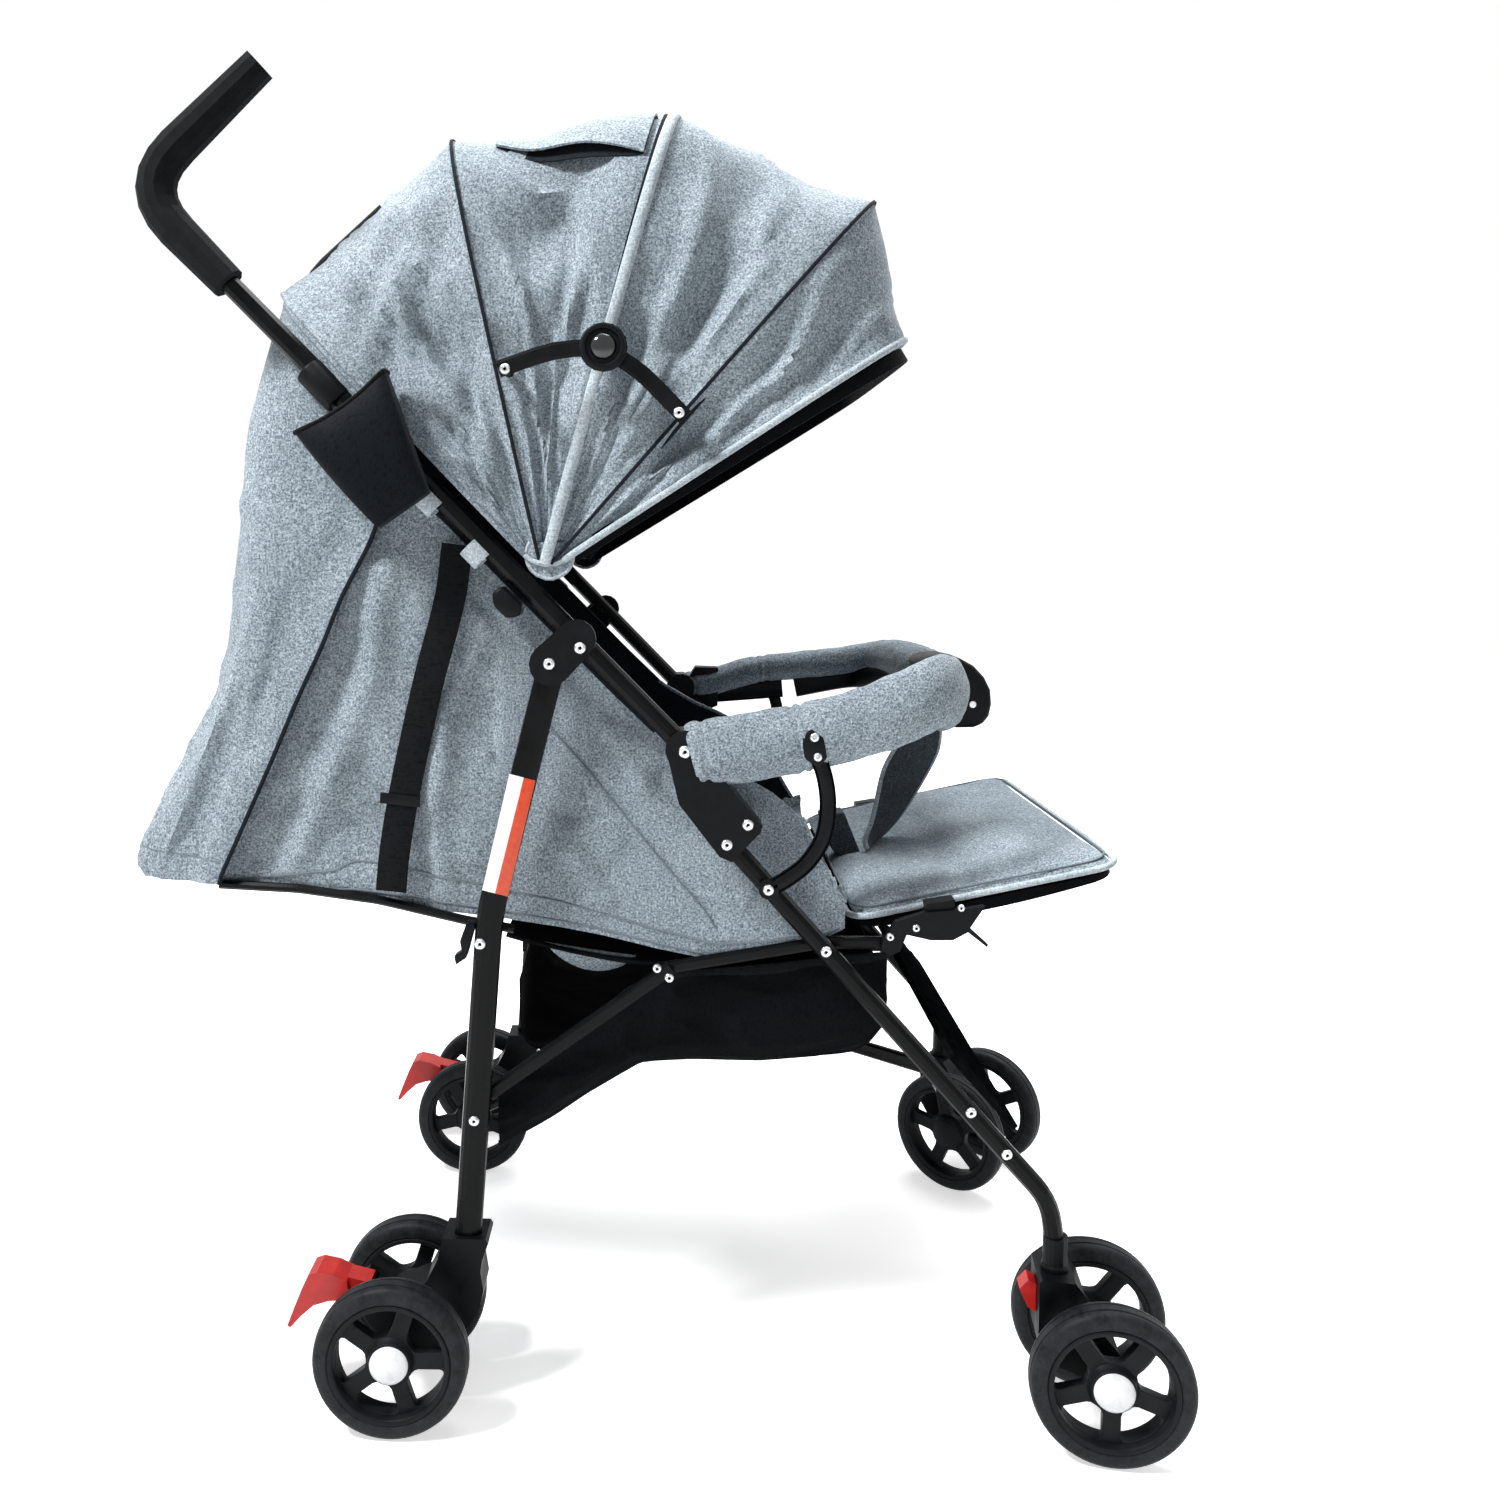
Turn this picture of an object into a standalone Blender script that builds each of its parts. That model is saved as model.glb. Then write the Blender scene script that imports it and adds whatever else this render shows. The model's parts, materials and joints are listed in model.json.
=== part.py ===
"""Lightweight umbrella stroller, standing open with its seat back laid flat.

Metres, +Z up. +X is the way the child faces, -Y is the child's right hand and
the side with the pouch. The floor is Z = 0. Inside this file X is measured
from the rear axle, and one empty at the end moves the whole object so that
its origin lies under the middle of its box.
"""

import bmesh
import bpy
import math
from mathutils import Matrix, Vector

for old in list(bpy.data.objects):
    bpy.data.objects.remove(old, do_unlink=True)

# Clearances
GAP = 0.0003
PLAY = 0.0010

# Wheels: eight alike, in four pairs
WHEEL_R = 0.060
WHEEL_W = 0.0215
WHEEL_STEPS = 20
TYRE_DEPTH = 0.0125
TYRE_SHOULDER = 0.0040
HUB_R = 0.0168
HUB_W = 0.0190
CAP_RISE = 0.0022
WEB_T = 0.0080
SPOKES = 5
SPOKE_W = 0.0130
AXLE_R = 0.0040
AXLE_END = 0.0050
SPACER_R = 0.0070
PAIR_SPACING = 0.0878
REAR_TRACK_IN = 0.0038

# Casters
CASTER_X = 0.5160
CASTER_IN = 0.0014
CASTER_TRAIL = 0.0348
CASTER_HEADING_RIGHT = 7.4
CASTER_HEADING_LEFT = 40.4
FORK_W = 0.0400
FORK_REAR = 0.0145
LOCK_W = 0.0140
FORK_TOP_Z = 0.1200
STEM_R = 0.0045
STEM_H = 0.0130

# Side frames
FRAME_Y = 0.2000
TUBE_R = 0.0080
LEG_R = 0.0075
TUBE_SIDES = 12
UPPER_PIVOT = (0.1170, 0.5930)
KNUCKLE = (0.2210, 0.5280)
KNUCKLE_R = 0.0155
JOINT_W = 0.0250
HINGE_LOBE_R = 0.0165
HINGE_T = 0.0060
UPPER_PIN_R = 0.0040
HANDLE_SLOPE = 45.1
GRIP_R = 0.0150
GRIP_END_Z = 0.8815
GRIP_KNEE = 0.1012
GRIP_TOP = (0.0967, 0.0919)
GRIP_BEND_R = 0.0500
TUBE_IN_GRIP = 0.0600
GRIP_OUT = 0.0080
LEG_RIVET_A = (0.2870, 0.4200)
LEG_RIVET_E_AT = 0.2782
RAIL_PIVOT_AT = 0.0673
LEG_ELBOW_Z = 0.1677
LEG_ELBOW_IN = 0.0080
LEG_FOOT_Z = 0.1340
LEG_BEND_R = 0.0700
LEG_INSET = 0.0680
FOOT_R = 0.0094
FOOT_H = 0.0260

# Rear legs: flat oval tubes
REAR_LEG_W = 0.0216
REAR_LEG_T = 0.0140
REAR_BEND = (0.0690, 0.3950)
REAR_FOOT = (0.0518, 0.1240)
REAR_FOOT_IN = 0.0135
HOUSING_W = 0.0300
PEDAL_W = 0.0240
PEDAL_PIVOT = (-0.0310, 0.0890)

# Seat rail, strut and the two crossed floor bars
BOSS_R = 0.0060
SIDE_GAP = 0.0015
LINK_GAP = 0.0020
RAIL_T = 0.0070
RAIL_H = 0.0100
RAIL_KNEE = (0.2070, 0.3470)
RATCHET_PIVOT = (0.3840, 0.3710)
STRUT_T = 0.0060
STRUT_W = 0.0120
STRUT_FOOT = (0.0720, 0.2480)
BAR_IN = 0.0110
BAR_H = 0.0120
BAR_END = 0.0060
BAR_T = 0.0070
BAR_FRONT_AT = 0.2135
BAR_FRONT_DROP = 0.0088
BAR_REAR = (0.0580, 0.2330)
BAR_STACK = 0.0085

# Seat, back, canopy and basket
SEAT_T = 0.0080
GUSSET_T = 0.0035
GUSSET_IN = 0.0050
BACK_PIVOT = (0.0860, 0.3770)
BACK_END = (-0.2000, 0.4130)
BACK_IN = 0.0055
BACK_T = 0.0120
BACK_RIM = 0.0300
BACK_TUBE_R = 0.0037
CURTAIN_IN = 0.0095
CURTAIN_T = 0.0040
CURTAIN_FOLD = 0.0030
CANOPY_APEX = (0.1090, 0.6620)
CANOPY_T = 0.0040
CANOPY_FOOT = 0.0200
BOW_TURN = 48.9
BOW_REACH = 0.3980
BOW_CLEAR = 0.0060
BOW_W = 0.0120
BOW_T = 0.0030
BASKET_X0 = 0.0950
BASKET_X1 = 0.3800
BASKET_IN = 0.0095
BASKET_Z = 0.2700
BASKET_H = 0.0670
BASKET_T = 0.0035

# Bumper bar and armrests
BUMPER_OUT = 0.0030
SLEEVE_H = 0.0430
SLEEVE_W = 0.0300
SLEEVE_REAR_X = 0.2620
SLEEVE_FALL = 0.0190
TONGUE_T = 0.0040
BUMPER_NECK = 0.0065
BUMPER_NECK_R = 0.0080
BUMPER_HINGE = (0.3450, 0.5475)
BUMPER_CENTRE = (0.4810, 0.5430)
BUMPER_KNUCKLE_R = 0.0190
BUMPER_PART = 0.0065
ARM_W = 0.0120
ARM_T = 0.0050

# Leg rest and footrest
PAD_IN = 0.0015
PAD_REAR = (0.3560, 0.3860)
PAD_FRONT = (0.5660, 0.4340)
PAD_T = 0.0200
PAD_CROWN = 0.0060
RATCHET_T = 0.0060
FOOTREST_L = 0.0760
FOOTREST_T = 0.0070
FOOTREST_RISE = 0.0150
FOOTREST_IN = 0.0100

# Canopy stretchers
STRETCH_OUT = 0.0250
STRETCH_T = 0.0035
STRETCH_W = 0.0130
STRETCH_REAR = (0.0840, 0.8150)
STRETCH_KNOB = (0.1570, 0.8300)
STRETCH_FRONT = (0.2140, 0.7830)
STUD_R = 0.0040
KNOB_R = 0.0180
KNOB_H = 0.0070

# Pouch
POUCH_DEPTH = 0.0360
POUCH_WALL = 0.0025
POUCH_TOP_REAR = (-0.0750, 0.7660)
POUCH_TOP_FRONT = (-0.0060, 0.8140)
POUCH_LOW_FRONT = (0.0260, 0.7240)
POUCH_LOW_REAR = (-0.0140, 0.6960)

# Crotch strap and recline straps
CROTCH_HALF_W = 0.0220
STRAP_W = 0.0220
STRAP_T = 0.0020
STRAP_IN = 0.0110

# Where each layer lies across the stroller, from the frame's tubes outwards and inwards
REAR_TRACK_Y = FRAME_Y - REAR_TRACK_IN
CASTER_Y = FRAME_Y - CASTER_IN
GRIP_Y = FRAME_Y + GRIP_OUT
BUMPER_Y = FRAME_Y + BUMPER_OUT
CANOPY_HALF_W = FRAME_Y + TUBE_R
STRETCH_Y = CANOPY_HALF_W + STRETCH_OUT
STRUT_Y = FRAME_Y - REAR_LEG_T / 2 - SIDE_GAP - STRUT_T / 2
RAIL_Y = STRUT_Y - STRUT_T / 2 - LINK_GAP - RAIL_T / 2
RATCHET_Y = RAIL_Y + RAIL_T / 2 + LINK_GAP + RATCHET_T / 2
BACK_TUBE_Y = STRUT_Y - STRUT_T / 2 - GAP - BACK_TUBE_R
STRAP_Y = FRAME_Y - STRAP_IN
CURTAIN_Y = FRAME_Y - CURTAIN_IN
BAR_Y = RAIL_Y - BAR_IN
SEAT_HALF_W = RAIL_Y - RAIL_T / 2 - PLAY
BACK_HALF_W = SEAT_HALF_W - BACK_IN
BASKET_HALF_W = SEAT_HALF_W - BASKET_IN
PAD_HALF_W = SEAT_HALF_W - PAD_IN
GUSSET_Y = BACK_TUBE_Y - GUSSET_IN
FOOTREST_HALF_W = FRAME_Y - FOOTREST_IN

SIDES = {"right": -1, "left": 1}
HEADINGS = {
    "right": -math.radians(CASTER_HEADING_RIGHT),
    "left": -math.radians(CASTER_HEADING_LEFT),
}


def material(name, colour, roughness, metallic=0.0):
    made = bpy.data.materials.new(name)
    made.use_nodes = True
    shader = made.node_tree.nodes["Principled BSDF"]
    shader.inputs["Base Color"].default_value = (*colour, 1.0)
    shader.inputs["Roughness"].default_value = roughness
    shader.inputs["Metallic"].default_value = metallic
    return made


BLACK_TUBE = material("black powder coat", (0.012, 0.012, 0.013), 0.35)
BLACK_PLASTIC = material("black moulding", (0.015, 0.015, 0.016), 0.45)
FOAM = material("foam grip", (0.020, 0.020, 0.021), 0.85)
TYRE = material("hard foam tyre", (0.018, 0.018, 0.019), 0.60)
RED = material("red moulding", (0.60, 0.020, 0.015), 0.35)
HEATHER = material("grey heather cloth", (0.42, 0.45, 0.50), 0.90)
DARK_CLOTH = material("black cloth", (0.020, 0.020, 0.022), 0.90)
CHARCOAL = material("charcoal cloth", (0.090, 0.090, 0.095), 0.90)

FRAME = bpy.data.objects.new("stroller", None)
bpy.context.scene.collection.objects.link(FRAME)


def add(name, bm, look, at=(0.0, 0.0, 0.0), turn=0.0):
    """One named piece. Its mesh is drawn about its own origin, at which it is then placed and turned."""
    bmesh.ops.recalc_face_normals(bm, faces=bm.faces)
    mesh = bpy.data.meshes.new(name)
    bm.to_mesh(mesh)
    bm.free()
    mesh.materials.append(look)
    made = bpy.data.objects.new(name, mesh)
    made.location = at
    made.rotation_euler = (0.0, 0.0, turn)
    made.parent = FRAME
    bpy.context.scene.collection.objects.link(made)
    mesh.shade_smooth()
    mesh.set_sharp_from_angle(angle=math.radians(35.0))
    return made


def moved(bm, by):
    bmesh.ops.translate(bm, verts=bm.verts, vec=by)
    return bm


def about(bm, origin):
    """The same shape, drawn about the point where its object is placed."""
    return moved(bm, [-value for value in origin])


def oval(width, height, sides=TUBE_SIDES, power=2.0):
    """A closed section: round at power 2, more like a flat tube above it."""
    points = []
    for step in range(sides):
        turn = 2 * math.pi * (step + 0.5) / sides
        across = math.cos(turn)
        up = math.sin(turn)
        points.append(
            (
                width / 2 * math.copysign(abs(across) ** (2 / power), across),
                height / 2 * math.copysign(abs(up) ** (2 / power), up),
            )
        )
    return points


def sweep(path, section, across=(0.0, 1.0, 0.0), scales=None):
    """A skin carried along a path, mitred at its bends. The section's first value lies across."""
    bm = bmesh.new()
    points = [Vector(point) for point in path]
    sideways = Vector(across)
    rings = []
    for index, point in enumerate(points):
        ways = []
        if index:
            ways.append((point - points[index - 1]).normalized())
        if index < len(points) - 1:
            ways.append((points[index + 1] - point).normalized())
        along = sum(ways, Vector()).normalized()
        side = (sideways - along * sideways.dot(along)).normalized()
        up = side.cross(along)
        mitre = 1 / max(0.5, along.dot(ways[0]))
        size = scales[index] if scales else (1.0, 1.0)
        rings.append(
            [
                bm.verts.new(point + side * a * size[0] + up * b * size[1] * mitre)
                for a, b in section
            ]
        )
    count = len(section)
    for first, second in zip(rings, rings[1:]):
        for k in range(count):
            after = (k + 1) % count
            bm.faces.new((first[k], first[after], second[after], second[k]))
    bm.faces.new(rings[0])
    bm.faces.new(rings[-1])
    bmesh.ops.recalc_face_normals(bm, faces=bm.faces)
    return bm


def loft(rings):
    """A closed skin over rings of points, with its two ends filled."""
    bm = bmesh.new()
    rows = [[bm.verts.new(point) for point in ring] for ring in rings]
    count = len(rings[0])
    for first, second in zip(rows, rows[1:]):
        for k in range(count):
            after = (k + 1) % count
            bm.faces.new((first[k], first[after], second[after], second[k]))
    bm.faces.new(rows[0])
    bm.faces.new(rows[-1])
    bmesh.ops.recalc_face_normals(bm, faces=bm.faces)
    return bm


def prism(outline, y0, y1):
    """A flat outline in the side view, extruded from y0 to y1."""
    bm = bmesh.new()
    face = bm.faces.new([bm.verts.new((x, y0, z)) for x, z in outline])
    made = bmesh.ops.extrude_face_region(bm, geom=[face])
    moving = [item for item in made["geom"] if isinstance(item, bmesh.types.BMVert)]
    bmesh.ops.translate(bm, verts=moving, vec=(0.0, y1 - y0, 0.0))
    bmesh.ops.recalc_face_normals(bm, faces=bm.faces)
    return bm


def turned(profile, steps, axis="Y"):
    """A body of revolution from one point on its axis to another. The profile gives (radius, height)."""
    bm = bmesh.new()
    if axis == "Y":
        points = [bm.verts.new((radius, height, 0.0)) for radius, height in profile]
        spin_axis = (0.0, 1.0, 0.0)
    else:
        points = [bm.verts.new((radius, 0.0, height)) for radius, height in profile]
        spin_axis = (0.0, 0.0, 1.0)
    edges = [bm.edges.new(pair) for pair in zip(points, points[1:])]
    bmesh.ops.spin(
        bm,
        geom=points + edges,
        cent=(0.0, 0.0, 0.0),
        axis=spin_axis,
        angle=2 * math.pi,
        steps=steps,
    )
    bmesh.ops.remove_doubles(bm, verts=bm.verts, dist=1e-6)
    bmesh.ops.recalc_face_normals(bm, faces=bm.faces)
    return bm


def helper(name, bm):
    """A shape that only cuts or joins another one."""
    bmesh.ops.recalc_face_normals(bm, faces=bm.faces)
    mesh = bpy.data.meshes.new(name)
    bm.to_mesh(mesh)
    bm.free()
    made = bpy.data.objects.new(name, mesh)
    made.hide_render = True
    made.display_type = "WIRE"
    made.parent = FRAME
    bpy.context.scene.collection.objects.link(made)
    return made


def combine(piece, bm, operation, name):
    other = helper(name, bm)
    other.location = piece.location
    other.rotation_euler = piece.rotation_euler
    step = piece.modifiers.new(name, "BOOLEAN")
    step.operation = operation
    step.object = other
    return piece


def arc(centre, radius, start, end, steps):
    turns = [
        math.radians(start + (end - start) * k / steps) for k in range(steps + 1)
    ]
    return [
        (centre[0] + radius * math.cos(turn), centre[1] + radius * math.sin(turn))
        for turn in turns
    ]


def bent(points, radius, steps=3):
    """A path through the points, each bend replaced by short chords of an arc."""
    path = [Vector(points[0])]
    for before, corner, after in zip(points, points[1:], points[2:]):
        corner = Vector(corner)
        back = (Vector(before) - corner).normalized()
        ahead = (Vector(after) - corner).normalized()
        half = math.acos(max(-1.0, min(1.0, back.dot(ahead)))) / 2
        reach = min(
            radius / math.tan(half),
            0.45 * (Vector(before) - corner).length,
            0.45 * (Vector(after) - corner).length,
        )
        start = corner + back * reach
        end = corner + ahead * reach
        for k in range(steps + 1):
            share = k / steps
            first = start.lerp(corner, share)
            second = corner.lerp(end, share)
            path.append(first.lerp(second, share))
    path.append(Vector(points[-1]))
    return path


def flat(point, y):
    return (point[0], y, point[1])


# The handle tube's axis runs up and back from the knuckle.
UP_TUBE = (
    -math.cos(math.radians(HANDLE_SLOPE)),
    math.sin(math.radians(HANDLE_SLOPE)),
)


def on_handle(distance):
    return (
        KNUCKLE[0] + UP_TUBE[0] * distance,
        KNUCKLE[1] + UP_TUBE[1] * distance,
    )


# The front leg's axis runs from its first rivet to a point straight above the caster.
LEG_DIR = Vector((CASTER_X - LEG_RIVET_A[0], 0.0, LEG_ELBOW_Z - LEG_RIVET_A[1])).normalized()
LEG_NORMAL = Vector((-LEG_DIR.z, 0.0, LEG_DIR.x))


def on_leg(distance, rise=0.0):
    """A side-view point along the front leg from its first rivet, and so far above its axis."""
    return (
        LEG_RIVET_A[0] + LEG_DIR.x * distance + LEG_NORMAL.x * rise,
        LEG_RIVET_A[1] + LEG_DIR.z * distance + LEG_NORMAL.z * rise,
    )


GRIP_END = (GRIP_END_Z - KNUCKLE[1]) / UP_TUBE[1]
RAIL_PIVOT = on_leg(RAIL_PIVOT_AT)
BAR_FRONT = on_leg(BAR_FRONT_AT, -BAR_FRONT_DROP)


# Wheels
def wheel_mesh():
    inner = -HUB_W / 2
    outer = HUB_W / 2
    rim = WHEEL_R - TYRE_DEPTH
    bore = AXLE_R + GAP
    profile = [
        (0.0, AXLE_END + PLAY),
        (bore, AXLE_END + PLAY),
        (bore, inner),
        (HUB_R, inner),
        (HUB_R, -WEB_T / 2),
        (rim, -WEB_T / 2),
        (rim + 0.001, -WHEEL_W / 2 + 0.0015),
        (WHEEL_R - TYRE_SHOULDER, -WHEEL_W / 2),
        (WHEEL_R, -WHEEL_W / 2 + TYRE_SHOULDER * 1.4),
        (WHEEL_R, WHEEL_W / 2 - TYRE_SHOULDER * 1.4),
        (WHEEL_R - TYRE_SHOULDER, WHEEL_W / 2),
        (rim + 0.001, WHEEL_W / 2 - 0.0015),
        (rim, WEB_T / 2),
        (HUB_R, WEB_T / 2),
        (HUB_R, outer),
        (HUB_R * 0.55, outer + CAP_RISE * 0.8),
        (0.0, outer + CAP_RISE),
    ]
    body = bpy.data.meshes.new("wheel blank")
    bm = turned(profile, WHEEL_STEPS)
    bm.to_mesh(body)
    bm.free()
    blank = bpy.data.objects.new("wheel blank", body)
    bpy.context.scene.collection.objects.link(blank)
    blank.hide_render = True
    blank.display_type = "WIRE"
    windows = bmesh.new()
    near = HUB_R + 0.0018
    far = rim - 0.0018
    for index in range(SPOKES):
        middle = 360.0 * (index + 0.5) / SPOKES + 180.0
        half_near = 180.0 / SPOKES - math.degrees(math.asin(SPOKE_W / 2 / near))
        half_far = 180.0 / SPOKES - math.degrees(math.asin(SPOKE_W / 2 / far))
        outline = arc((0.0, 0.0), near, middle - half_near, middle + half_near, 1)
        outline += arc((0.0, 0.0), far, middle + half_far, middle - half_far, 2)
        one = prism(outline, -WEB_T, WEB_T)
        copy = bpy.data.meshes.new("window")
        one.to_mesh(copy)
        one.free()
        windows.from_mesh(copy)
        bpy.data.meshes.remove(copy)
    cutter = bpy.data.objects.new("wheel windows", bpy.data.meshes.new("wheel windows"))
    bmesh.ops.recalc_face_normals(windows, faces=windows.faces)
    windows.to_mesh(cutter.data)
    windows.free()
    cutter.hide_render = True
    cutter.display_type = "WIRE"
    bpy.context.scene.collection.objects.link(cutter)
    step = blank.modifiers.new("windows", "BOOLEAN")
    step.operation = "DIFFERENCE"
    step.object = cutter
    bpy.context.view_layer.update()
    graph = bpy.context.evaluated_depsgraph_get()
    mesh = bpy.data.meshes.new_from_object(blank.evaluated_get(graph))
    mesh.name = "wheel"
    bpy.data.objects.remove(blank, do_unlink=True)
    bpy.data.objects.remove(cutter, do_unlink=True)
    mesh.materials.clear()
    mesh.materials.append(TYRE)
    mesh.shade_smooth()
    mesh.set_sharp_from_angle(angle=math.radians(35.0))
    return mesh


WHEEL = wheel_mesh()


def add_wheel(name, at, facing, turn=0.0):
    """A wheel whose capped side faces +Y or -Y before it is turned about the vertical."""
    made = bpy.data.objects.new(name, WHEEL)
    made.location = at
    made.rotation_euler = (0.0, 0.0, turn + (0.0 if facing > 0 else math.pi))
    made.parent = FRAME
    bpy.context.scene.collection.objects.link(made)
    return made


def axle_bm():
    """Axle with a spacer on each side, about Y."""
    seat = PAIR_SPACING / 2 - HUB_W / 2 - PLAY
    tip = PAIR_SPACING / 2 + AXLE_END
    profile = [
        (0.0, -tip),
        (AXLE_R, -tip),
        (AXLE_R, -seat),
        (SPACER_R, -seat),
        (SPACER_R, seat),
        (AXLE_R, seat),
        (AXLE_R, tip),
        (0.0, tip),
    ]
    return turned(profile, 12)


# Casters: fork, stem and axle in one moulding, two wheels each
def add_caster(side):
    sign = SIDES[side]
    turn = HEADINGS[side]
    pivot = Vector((CASTER_X, sign * CASTER_Y, 0.0))
    ahead = Vector((math.cos(turn), math.sin(turn), 0.0))
    across = Vector((-math.sin(turn), math.cos(turn), 0.0))
    trail = CASTER_TRAIL
    outline = [
        (-FORK_REAR, FORK_TOP_Z - 0.0020),
        (-FORK_REAR + 0.0020, FORK_TOP_Z),
        (0.0125, FORK_TOP_Z),
        (0.0200, FORK_TOP_Z - 0.0100),
        (trail - 0.0080, WHEEL_R + 0.0300),
        (trail + 0.0110, WHEEL_R + 0.0080),
        (trail + 0.0120, WHEEL_R - 0.0050),
        (trail + 0.0040, WHEEL_R - 0.0120),
        (trail - 0.0120, WHEEL_R - 0.0130),
        (-0.0020, WHEEL_R - 0.0060),
        (-FORK_REAR, WHEEL_R + 0.0100),
    ]
    fork = add(
        f"caster_fork_{side}",
        prism(outline, -FORK_W / 2, FORK_W / 2),
        BLACK_PLASTIC,
        at=pivot,
        turn=turn,
    )
    axle = moved(axle_bm(), (trail, 0.0, WHEEL_R))
    combine(fork, axle, "UNION", f"front axle {side}")
    stem = turned(
        [
            (0.0, FORK_TOP_Z - 0.005),
            (STEM_R, FORK_TOP_Z - 0.005),
            (STEM_R, FORK_TOP_Z + STEM_H),
            (0.0, FORK_TOP_Z + STEM_H),
        ],
        12,
        "Z",
    )
    combine(fork, stem, "UNION", f"caster stem {side}")
    add_swivel_lock(side, pivot, turn)
    centre = pivot + ahead * trail + Vector((0.0, 0.0, WHEEL_R))
    for place, facing in (("outer", sign), ("inner", -sign)):
        spot = centre + across * facing * PAIR_SPACING / 2
        add_wheel(f"front_wheel_{place}_{side}", spot, facing, turn)


# The front leg ends in a moulded foot, into which the caster's stem goes.
def add_foot(side):
    sign = SIDES[side]
    pivot = Vector((CASTER_X, sign * CASTER_Y, 0.0))
    base = FORK_TOP_Z + GAP
    profile = [
        (0.0, base + STEM_H + GAP),
        (STEM_R + GAP, base + STEM_H + GAP),
        (STEM_R + GAP, base),
        (FOOT_R + 0.0010, base),
        (FOOT_R + 0.0010, base + 0.0030),
        (FOOT_R, base + 0.0050),
        (FOOT_R, base + FOOT_H),
        (0.0, base + FOOT_H),
    ]
    foot = add(f"front_foot_{side}", turned(profile, 16, "Z"), BLACK_PLASTIC, at=pivot)
    path = [Vector(point) - pivot for point in leg_path(side)]
    path[-1] -= Vector((0.0, 0.0, GAP))
    socket = sweep(path, oval(2 * (LEG_R + GAP), 2 * (LEG_R + GAP)))
    combine(foot, socket, "DIFFERENCE", f"leg socket {side}")
    return foot


def leg_path(side):
    """The front leg from inside the side plate to inside its foot."""
    sign = SIDES[side]
    y = sign * FRAME_Y
    drop = (CASTER_X - LEG_RIVET_A[0]) / LEG_DIR.x
    points = [
        flat(on_leg(-LEG_INSET), y),
        flat(on_leg(LEG_RIVET_E_AT), y),
        flat(on_leg(drop - LEG_ELBOW_IN), sign * CASTER_Y),
        (CASTER_X, sign * CASTER_Y, LEG_FOOT_Z),
    ]
    curve = bent(points[1:], LEG_BEND_R, 5)
    return [tuple(Vector(point)) for point in points[:1] + curve]


def y_pin(centre, radius, y0, y1, sides=11):
    """A short round bar along Y."""
    return prism(arc(centre, radius, 0.0, 360.0 - 360.0 / (sides + 1), sides), y0, y1)


def add_front_leg(side):
    sign = SIDES[side]
    at = (CASTER_X, sign * FRAME_Y, 0.0)
    leg = sweep(leg_path(side), oval(2 * LEG_R, 2 * LEG_R))
    made = add(f"front_leg_{side}", about(leg, at), BLACK_TUBE, at=at)
    boss = about(y_pin(RAIL_PIVOT, BOSS_R, sign * (RAIL_Y + RAIL_T / 2 + GAP), sign * FRAME_Y), at)
    combine(made, boss, "UNION", f"rail boss {side}")
    inner = sign * (BAR_Y + BAR_END + PLAY)
    lift = -sign * BAR_STACK
    lug = prism(
        [
            (BAR_FRONT[0] - 0.0040, BAR_FRONT[1] + lift - 0.0050),
            (BAR_FRONT[0] - 0.0040, BAR_FRONT[1] + lift + 0.0060),
            (BAR_FRONT[0] + 0.0120 - 0.9 * lift, BAR_FRONT[1] + lift + 0.0060),
            (BAR_FRONT[0] + 0.0220 - 0.9 * lift, BAR_FRONT[1] + lift - 0.0050),
        ],
        inner,
        sign * FRAME_Y,
    )
    combine(made, about(lug, at), "UNION", f"front bar lug {side}")
    return made


# Handle tube with its foam grip
def handle_path(side):
    sign = SIDES[side]
    return [
        flat(on_handle(0.0020), sign * FRAME_Y),
        flat(on_handle(GRIP_END - 0.10), sign * FRAME_Y),
        flat(on_handle(GRIP_END - 0.01), sign * (FRAME_Y + GRIP_Y) / 2),
        flat(on_handle(GRIP_END + 0.03), sign * GRIP_Y),
        flat(on_handle(GRIP_END + TUBE_IN_GRIP), sign * GRIP_Y),
    ]


def grip_path(side):
    """The grip: along the tube, then bent round to point up and forward."""
    y = SIDES[side] * GRIP_Y
    knee = on_handle(GRIP_END + GRIP_KNEE)
    tip = (knee[0] + GRIP_TOP[0], knee[1] + GRIP_TOP[1])
    return bent([flat(on_handle(GRIP_END), y), flat(knee, y), flat(tip, y)], GRIP_BEND_R, 6)


def add_handle(side):
    sign = SIDES[side]
    tube = sweep(handle_path(side), oval(2 * TUBE_R, 2 * TUBE_R))
    add(f"handle_tube_{side}", tube, BLACK_TUBE)
    path = grip_path(side)
    ends = [0.90] + [1.0] * (len(path) - 2) + [0.86]
    scales = [(size, size) for size in ends]
    grip = add(
        f"grip_{side}",
        sweep(path, oval(2 * GRIP_R, 2 * GRIP_R), scales=scales),
        FOAM,
    )
    hole = sweep(
        handle_path(side)[1:4]
        + [flat(on_handle(GRIP_END + TUBE_IN_GRIP + GAP), sign * GRIP_Y)],
        oval(2 * (TUBE_R + GAP), 2 * (TUBE_R + GAP)),
    )
    combine(grip, hole, "DIFFERENCE", f"grip bore {side}")


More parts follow.
